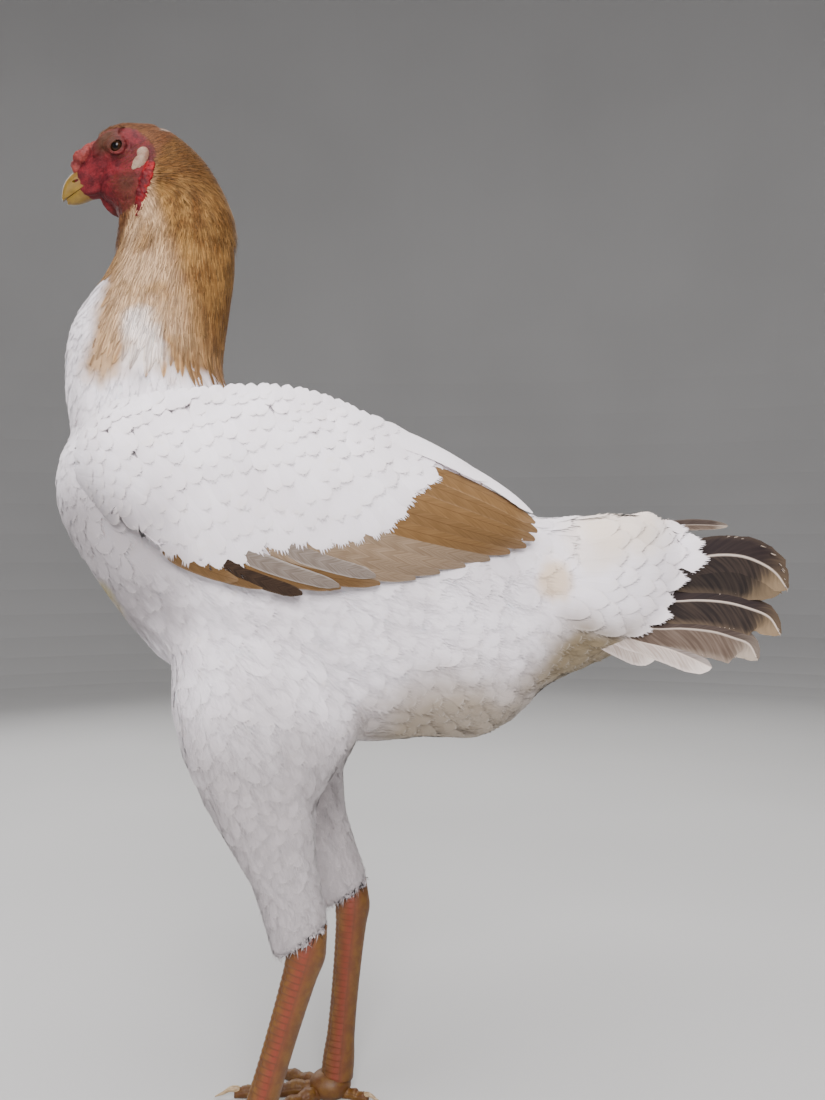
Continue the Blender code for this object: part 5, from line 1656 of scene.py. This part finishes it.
# %% Flight feathers of the wing
# Root and tip as x and z, bend of the shaft, width at root and tip, tint.
FLIGHT = (
    ((-12.1, 451.5), (70.4, 412.0), 2.2, 15, 10, 0.5),
    ((-17.9, 443.0), (72.0, 407.4), 0.0, 15, 10, 0.3),
    ((-25.6, 433.6), (70.7, 402.7), -1.0, 15, 10, 0.6),
    ((-33.4, 425.9), (65.3, 398.4), -1.9, 15, 10, 0.35),
    ((-45.2, 418.3), (54.6, 394.6), -2.5, 14, 10, 0.65),
    ((-59.9, 412.0), (41.6, 390.3), -3.1, 14, 10, 0.5),
    ((-74.7, 406.9), (25.6, 386.0), -3.1, 13, 9, 0.7),
    ((-89.4, 402.4), (9.4, 382.1), -3.0, 13, 9, 0.4),
    ((-104.2, 398.3), (-5.7, 378.5), -3.0, 13, 9, 0.6),
    ((-119.0, 394.7), (-27.4, 375.2), -3.0, 13, 9, 0.1),
    ((-133.8, 392.6), (-51.0, 372.9), -2.4, 13, 9, 0.2),
    ((-146.8, 390.5), (-92.0, 374.0), -1.8, 13, 9, 0.0),
    ((-160.0, 396.0), (-112.0, 377.5), -1.2, 13, 9, 0.15),
)
QUILL = (
    (0.0, 0.8, 0.0), (0.15, 1.0, 0.5), (0.5, 1.0, 0.8), (0.82, 0.95, 0.95), (0.93, 0.75, 0.98), (1.0, 0.25, 1.0)
)
flights, buff_flights = Quills(), Quills()
for k, (root, tip, bend, first, last, tint) in enumerate(FLIGHT):
    row = buff_flights if 5 <= k <= 8 else flights
    row.add(
        wing_face, arc(root, tip, bend), QUILL, (first, last), (-2.9, 1.6), tint, tilt=1.0, shaft=0.4,
        ragged=0.1, seed=100 + k, arrow=0.3
    )
show_both(flights, "flight_feathers", tan_vane, "wing")
show_both(buff_flights, "buff_flight_feathers", buff_vane, "wing")

# The topmost tertials are white, and two odd feathers, dark brown and grey, lie below the greater coverts.
for name, material, rows in (
    (
        "tertials", covert_vane,
        (
            ((-9.4, 463.0), (67.5, 416.5), 4.0, 10, 7, -0.5, 3.6),
            ((-24.0, 468.0), (40.0, 436.0), 3.0, 14, 10, -0.8, 3.2)
        )
    ),
    ("dark_wing_feather", dark_vane, (((-128.0, 390.0), (-74.0, 369.5), -1.6, 11, 9, -1.8, 2.4),)),
    (
        "grey_wing_feather", grey_vane,
        (
            ((-114.0, 395.0), (-52.0, 374.5), -1.6, 11, 8, -1.4, 3.0),
            ((-92.0, 400.0), (-30.0, 380.0), -1.6, 12, 9, -2.0, 2.2)
        )
    ),
):
    odd = Quills()
    for k, (root, tip, bend, first, last, low, top) in enumerate(rows):
        odd.add(
            wing_face, arc(root, tip, bend), QUILL, (first, last), (low, top), 0.4 + 0.2 * k, tilt=1.0,
            shaft=0.4, ragged=0.12, seed=131 + k, arrow=0.3
        )
    show_both(odd, name, material, "wing")

# %% Covert rows of the wing
GREATER_EDGE = (
    (8.8, 453.0), (5.7, 436.0), (-2.7, 429.0), (-11.6, 418.1), (-25.2, 406.8), (-43.0, 399.7), (-60.7, 397.0),
    (-78.4, 397.7), (-95.6, 393.8), (-111.5, 387.3), (-128.1, 385.3), (-145.2, 388.9), (-161.7, 395.4)
)
LEADING_EDGE = (
    (-46, 490), (-78, 498), (-106, 500), (-132, 500), (-155, 498), (-176, 495), (-192, 490), (-204, 482),
    (-211, 471), (-214, 459), (-213, 447), (-206, 433), (-195, 419)
)


def covert_rows(rows, pitch, seed):
    """Tips, headings and sizes of the coverts, in loose rows between the two edges, staggered like bricks."""
    rng = np.random.default_rng(seed)
    outer, inner = np.array(GREATER_EDGE), np.array(LEADING_EDGE)
    trend = outer.mean(0) - inner.mean(0)
    found = []
    for row in range(rows):
        t = 1 - (1 - row / (rows - 1)) ** 1.25
        curve = np.array(smooth_rows(outer + (inner - outer) * t, 6))
        steps = np.linalg.norm(np.diff(curve, axis=0), axis=1)
        run = np.concatenate([[0], np.cumsum(steps)])
        spot = pitch * 0.7 * (0.25 + 0.5 * (row % 2))
        while spot < run[-1]:
            place, near, far = (
                np.array([np.interp(spot + off, run, curve[:, k]) for k in (0, 1)]) for off in (0, -3, 3)
            )
            size = (1.0 - 0.5 * t) * (0.8 + 0.25 * spot / run[-1])
            ahead = unit(far - near)
            out = np.array([-ahead[1], ahead[0]])
            out = unit((out if out @ trend > 0 else -out) + np.array([0.30, -0.19]))
            found.append((place, out, size, t, rng.normal(0, 1, 5)))
            spot += pitch * size * rng.uniform(0.82, 1.18)
    return found


def inside_wing(place):
    """The place, moved in from beyond the wing's edges."""
    x = max(place[0], -217.0)
    top, bottom, _ = values_at(WING, x)
    return Vector((x, min(max(place[1], bottom + 2), top - 2.5)))


COVERT = (
    (0.0, 0.5, 0.0), (0.3, 0.88, 0.3), (0.55, 1.0, 0.55), (0.70, 0.99, 0.72), (0.82, 0.90, 0.84),
    (0.91, 0.72, 0.93), (0.97, 0.45, 0.98), (1.0, 0.14, 1.0)
)
coverts = Quills()
for k, (place, out, size, t, jitter) in enumerate(covert_rows(12, 12.6, 7)):
    length = 32 * size * (1 + 0.06 * jitter[0])
    turn = Matrix.Rotation(math.radians(5) * jitter[3], 2) @ Vector(out)
    tip = Vector(place + jitter[1:3] * 0.8) + turn * jitter[4] * (2.4 if t > 0.05 else 1.0)
    root, tip = inside_wing(tip - turn * length), inside_wing(tip)
    if (tip - root).length < 9:
        continue
    width = (18 + 6 * max(0, 1 - t * 6)) * size
    coverts.add(
        wing_face, arc(root, tip), COVERT, (width, width), (-0.9, 0.9 - 0.3 * t), 0.5 + 0.25 * jitter[0],
        tilt=0.08, shaft=0.04, ragged=0.02, rows=14, seed=300 + k, arrow=0.1, barbs=21, loose=0.22
    )
show_both(coverts, "coverts", covert_vane, "wing")

# %% Wing skin with its small coverts
bm = bmesh.new()
part_of(bm, "wing_left")
wing = melted(linked("wing_skin_left", mesh_of("wing_skin_left", bm)), 0.0035, 30)
points, normals = corners(wing.data)
move_to(wing.data, points - normals * 0.003)


def unwrap_wing(points):
    """The wing rolled out round its long axis."""
    p = np.asarray(points)
    turn = np.arctan2(np.abs(p[:, 1]) - 0.085, p[:, 2] - 0.43) / math.tau + 0.5
    return np.stack([0.02 + 0.96 * np.clip((p[:, 0] + 0.225) / 0.3, 0, 1), 0.01 + 0.97 * turn], 1)


wing_coat = Skin(wing.data, unwrap_wing)
edge_places = lambda p: (p[:, 0] < 0.0) & (p[:, 0] > -0.211) & ((p[:, 2] > 0.40) | (p[:, 0] < -0.12))
roots = even_roots(wing_coat, 20000, 31, edge_places, SMALL_COVERT_GAP)
roots = roots[[wing_coat.nearest(Vector(root))[1].y < 0.2 for root in roots]]
for word, mirror in HALVES:
    lay_coat(
        "wing_small_feathers_" + word, wing_coat, roots, 32, white_vane, "wing", size=0.7, scatter=7.0,
        barbs=14, mirror=mirror
    )

# %% Finish the wing skins
wing_finish = skin_finish(
    "wing_under_skin", (0.8, 0.77, 0.74), (0.72, 0.68, 0.64), (0.6, 0.56, 0.52), 0.003, 0.8
)
right_wing = linked("wing_skin_right", wing.data.copy())
right_wing.data.transform(Matrix.Scale(-1, 4, (0, 1, 0)))
right_wing.data.flip_normals()
show(wing, wing_finish, "wing", "wing_left")
show(right_wing, wing_finish, "wing", "wing_right")

# %% [markdown]
# ## Tail
# Six pairs of tail feathers hang from a ridge like a tent. They are grey-brown with pale shafts, each with
# its own shade and a frayed pale tip, and broad white coverts cover their roots. Above its shaft each vane is
# darkened as painted shadow of the feather that lies over it.

# %% Tail feathers
# Each row: the finish, the width, the tint, and the places of the shaft. Every row lies under the one before it.
RECTRICES = (
    (
        "tail_vane", 34, 0.55, 0.1, (118, 384), (160, 386), (185, 389.5), (200, 391.5), (215.5, 390.5),
        (228.8, 385.5), (238, 379), (245, 368)
    ),
    ("tail_vane", 34, 0.0, 0.3, (115, 385), (170, 385), (205, 385), (226, 379), (241, 367)),
    (
        "tail_vane", 29, 0.6, 0.33, (114, 368), (150, 363.5), (166.2, 361), (184.2, 361.7), (202.2, 360.4),
        (217.5, 356.4), (230.8, 350.4), (237, 339)
    ),
    (
        "mid_tail_vane", 27, 0.4, 0.33, (110, 354), (152.3, 343.1), (172.9, 343.1), (192.9, 341.1),
        (206.2, 337.1), (215.5, 333.1), (220, 323)
    ),
    ("pale_tail_vane", 17, 0.6, 0.2, (104, 350), (139, 336), (165, 329), (190, 318)),
    ("pale_tail_vane", 15, 0.4, 0.2, (98, 345), (125, 335), (154, 323)),
)
RECTRIX = (
    (0.0, 0.4, 0.0), (0.38, 0.75, 0.38), (0.65, 0.95, 0.65), (0.82, 1.0, 0.85), (0.92, 0.88, 0.94),
    (0.97, 0.66, 0.98), (1.0, 0.3, 1.0)
)
for name in TAIL_SHADES:
    rectrices = Quills()
    for layer, (shade, width, tint, lean, *places) in enumerate(RECTRICES):
        if shade == name:
            heights = (0.4 - layer * 0.85, 1.0 - layer * 0.85)
            rectrices.add(
                tail_face, through(*places), RECTRIX, (width, width), heights, tint,
                tilt=1.6, shaft=0.8, ragged=0.12, rows=34, seed=500 + layer, arrow=0.16, barbs=27, lean=lean, loose=0.1
            )
    show_both(rectrices, name + "_feathers", bpy.data.materials[name], "tail")

# The coverts' tips run from the ridge down round the tail's root, and so do the places where they start.
COVERT_TIPS = (
    (160, 414), (182, 408), (190, 396), (183, 384), (177, 371), (167.5, 358.4), (155, 346), (139, 336)
)
COVERT_ROOTS = ((112, 412), (114, 404), (112, 396), (109, 386), (105, 377), (100, 368), (95, 360), (90, 352))
rng = np.random.default_rng(61)
tail_coverts = Quills()
for row, (t, count) in enumerate(((0.0, 8), (0.16, 8), (0.34, 7), (0.52, 7), (0.7, 7))):
    for k in range(count):
        share = (k + 0.25 + 0.5 * (row % 2) + rng.uniform(-0.15, 0.15)) / count
        tip, root = (np.array(values_at(through(*places), share)) for places in (COVERT_TIPS, COVERT_ROOTS))
        end = tip + (root - tip) * (t + rng.uniform(-0.05, 0.05))
        start = end + unit(root - tip) * rng.uniform(40, 48)
        width = rng.uniform(16.0, 20.0) * (1 - 0.2 * t)
        tail_coverts.add(
            stump_face, arc(start, end, rng.normal(0, 0.7)), COVERT, (width, width), (-6.5, 1.1 + 0.6 * t),
            rng.random(), tilt=0.1, shaft=0.03, ragged=0.04, rows=18, seed=600 + 20 * row + k, arrow=0.1,
            barbs=41, loose=0.24
        )
show_both(tail_coverts, "tail_coverts", covert_vane, "tail")
brown = Quills()
brown.add(
    tail_face, through((150, 409), (180, 412), (207, 411.5)), COVERT, (8.0, 8.0), (0.4, 2.2), 0.4,
    tilt=0.4, shaft=0.1, ragged=0.1, rows=16, seed=651, arrow=0.12, barbs=7
)
show_both(brown, "brown_tail_covert", bpy.data.materials["mid_tail_vane"], "tail")

# %% [markdown]
# ## Legs and feet
# A fowl's shank is covered in scutes: broad plates that overlap down its front and sides, and small round
# scales behind. They could be bump, but they catch the light along the leg's outline, so the lofted leg's
# own rings step out at each plate's lower edge. Toes are ringed the same way, with soft pads beneath.

# %% Scale finish
scale_finish, g, shader = finish_of("leg_scales", Roughness=0.45)
let_light_in(shader, 0.1, (1.0, 0.5, 0.2), 0.002)
place = place_on_bird(g)
stripe = g.read("stripe")
groove = g.read("groove")
mottle = g.noise(place, 160, 4.0, 0.6)
colour = g.mix(g.span(mottle, 0.35, 0.68), (0.108, 0.037, 0.004), (0.165, 0.074, 0.008))
colour = g.mix(g.times(stripe, g.span(mottle, 0.2, 0.7, 0.6, 1.0)), colour, (0.20, 0.030, 0.013))
colour = g.mix(g.times(groove, 0.55), colour, (0.10, 0.035, 0.010))
g.feed(shader.inputs, {"Base Color": colour})
g.tree.links.new(g.add(0.36, g.times(mottle, 0.25)), shader.inputs["Roughness"])
pebbles = g.group(pebbled_skin, {"Place": place, "Pebble size": 0.0011})
g.feed(shader.inputs, {"Normal": g.bump(pebbles["Height"], 0.25, 0.0003)})

# %% Shanks and toes
STANCE, ANKLE_Z = 47.0, 13.0
LEGS = {"left": (-1, 0.0, -112.0), "right": (1, 23.0, -62.0)}
HOCK = (-73.0, 144.0)
SHANK = (
    (-0.1, 7.4, 5.8),
    (-0.02, 10.2, 8.0),
    (0.05, 12.0, 9.0),
    (0.16, 10.6, 7.9),
    (0.45, 9.4, 6.9),
    (0.75, 9.5, 7.1),
    (0.9, 11.0, 8.9),
    (1.0, 11.2, 10.2),
)
TOES = {"3": (4.0, 66.0, 5.9), "2": (38.0, 50.0, 5.4), "4": (-34.0, 52.0, 5.3), "1": (158.0, 27.0, 4.6)}
TOE_SHAPE = (
    (0.0, 1.15), (0.2, 0.98), (0.32, 1.12), (0.46, 0.9), (0.6, 1.05), (0.72, 0.84), (0.87, 0.95), (1.0, 0.62)
)
CLAW = {"1": 12.0, "2": 12.5, "3": 14.0, "4": 11.5}


def scutes(run, turn, pitch, columns, spread):
    """Height of overlapping plates, 0 to 1, and their groove, at a run down the limb and a turn from its front."""
    column = turn / spread * columns
    index = math.floor(column + 0.5)
    across = abs(column - index) * 2
    phase = (run / pitch + 0.5 * (index % 2)) % 1.0
    plate = 0.35 + 0.65 * phase - 0.9 * max(0, across - 0.78) * 3
    if phase > 0.93:
        plate *= (1 - phase) / 0.07
    return max(plate, 0), 1.0 if phase > 0.9 or phase < 0.05 or across > 0.88 else 0.0


def limb_mesh(bm, stations, pitch, lift, columns, spread, stripe_turn=None):
    """Adds a scaled limb. A station is its middle, front, side, half depths and half width, and its run in mm."""
    sides = 72
    made, marks = [], []
    for middle, front, across, depth, half, run in stations:
        ring = []
        for k in range(sides):
            turn = math.tau * k / sides
            c, s = math.cos(turn), math.sin(turn)
            signed = (turn + math.pi) % math.tau - math.pi
            if abs(signed) < spread:
                height, groove = scutes(run, signed, pitch, columns, spread)
            else:
                height = 0.35 + 0.3 * noise.voronoi(Vector((run * 0.55, signed * 5.5, 0)))[0][0]
                groove = 0.3
            out = front * c * depth + across * s * half
            out = out + out.normalized() * height * lift
            vert = bm.verts.new(middle + out * MM)
            ring.append(vert)
            red = 0.0
            if stripe_turn is not None:
                red = math.exp(-(((abs(signed) - stripe_turn) / 0.42) ** 2))
            marks.append((red, groove))
        made.append(ring)
    for near, far in zip(made, made[1:]):
        for k in range(sides):
            bm.faces.new((near[k], near[k - 1], far[k - 1], far[k]))
    for ring in (made[0], made[-1]):
        pole = bm.verts.new(sum((v.co for v in ring), Vector()) / sides)
        marks.append((0.0, 0.0))
        for k in range(sides):
            bm.faces.new((ring[k], ring[k - 1], pole))
    return marks


def limb_stations(line, sizes, step):
    """Stations every step mm along a line of points, with half depth and width given at shares of its length."""
    points = [Vector(p) for p in line]
    total = sum((b - a).length for a, b in zip(points, points[1:])) / MM
    first, last = sizes[0][0], sizes[-1][0]
    count = int(total * (last - first) / step)
    down = (points[-1] - points[0]).normalized()
    front = down.cross(Vector((0, 1, 0))).normalized()
    if front.x > 0:
        front.negate()
    found = []
    for k in range(count + 1):
        share = first + (last - first) * k / count
        depth, half = values_at(sizes, share)
        middle = points[0].lerp(points[-1], share)
        found.append((middle, front, Vector((0, 1, 0)), depth, half, share * total))
    return found


def toe_ways(turn, side):
    """The way a toe points and the way across it, turned in degrees from straight ahead."""
    angle = math.radians(turn)
    ahead = Vector((-math.cos(angle), -side * math.sin(angle), 0))
    return ahead, Vector((0, 0, 1)).cross(ahead)


for word, (side, back, ankle_x) in LEGS.items():
    bm = bmesh.new()
    hock = at(HOCK[0] + back, side * STANCE, HOCK[1])
    ankle = at(ankle_x, side * STANCE, ANKLE_Z)
    marks = limb_mesh(bm, limb_stations((hock, ankle), SHANK, 0.55), 4.4, 0.75, 1.5, 1.75, 1.5)
    for toe, (turn, length, radius) in TOES.items():
        ahead, aside = toe_ways(turn, side)
        start = at(ankle_x - 5, side * STANCE, 0) + ahead * 4 * MM
        stations = []
        count = int(length / 0.6)
        for k in range(count + 1):
            share = k / count
            size, = values_at(TOE_SHAPE, share)
            r = radius * size * (1 - 0.22 * share) - 0.3
            middle = start + ahead * (length - 1) * share * MM + Vector((0, 0, r * 0.86 * MM))
            stations.append((middle, Vector((0, 0, 1)), aside, r, r, length * share))
        marks += limb_mesh(bm, stations, 3.6, 0.55, 0.5, 1.25)
    pad = bmesh.ops.create_icosphere(
        bm, subdivisions=4, radius=1,
        matrix=Matrix.Translation(at(ankle_x - 5, side * STANCE, 7.5)) @ Matrix.Diagonal((0.0152, 0.0142, 0.0108, 1))
    )
    marks += [(0.0, 0.3)] * len(pad["verts"])
    for vert in bm.verts:
        vert.co.z = max(vert.co.z, 0.0)
    leg = linked("scaled_leg_" + word, mesh_of("scaled_leg", bm))
    for name, values in zip(("stripe", "groove"), zip(*marks)):
        keep_values(leg.data, name, values)
    show(
        leg, scale_finish, "shank", "shank_" + word, "foot_" + word,
        *("toe_" + word + "_" + toe for toe in TOES)
    )

# %% Claws
claw_finish, g, shader = finish_of("claw_horn", Roughness=0.35)
place = place_on_bird(g)
streak = g.noise(
    g.put("ShaderNodeVectorMath", {0: place, 1: (300, 300, 1500)}, operation="MULTIPLY").outputs[0], 1.0, 3.0
)
g.tree.links.new(
    g.mix(g.span(streak, 0.3, 0.7), (0.30, 0.19, 0.09), (0.58, 0.44, 0.26)), shader.inputs["Base Color"]
)
g.tree.links.new(g.add(0.28, g.times(streak, 0.2)), shader.inputs["Roughness"])
for word, (side, back, ankle_x) in LEGS.items():
    for toe, (turn, length, radius) in TOES.items():
        ahead, aside = toe_ways(turn, side)
        start = at(ankle_x - 5, side * STANCE, 0) + ahead * (7 + length - 8) * MM
        bm = bmesh.new()
        rings = []
        for k in range(17):
            share = k / 16
            r = radius * 0.52 * (1 - 0.86 * share**1.2)
            middle = start + ahead * (CLAW[toe] + 4) * share * MM
            arch = 1.6 * math.sin(math.pi * min(share * 1.5, 1))
            middle.z = (radius * 0.78 + arch - (radius * 0.78 - 0.9) * share**2.2) * MM
            rings.append(oval(middle, aside * r * 0.8 * MM, Vector((0, 0, r * MM)), Vector((0, 0, -r * 0.8 * MM)), 20))
        loft_into(bm, rings)
        show(
            linked("claw_horn_" + word + "_" + toe, mesh_of("claw", bm)), claw_finish, "claw",
            "claw_" + word + "_" + toe
        )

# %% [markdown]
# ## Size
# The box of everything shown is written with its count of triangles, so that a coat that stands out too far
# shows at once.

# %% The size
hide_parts("tail")
low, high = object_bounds()
meshes = [o for o in bpy.context.scene.objects if o.type == "MESH"]
shown = [o for o in meshes if not o.get("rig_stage") and not o.hide_render]
count = sum(len(p.vertices) - 2 for o in shown for p in o.data.polygons)
print("visual from", [round(v, 4) for v in low], "to", [round(v, 4) for v in high], "with", count, "triangles")
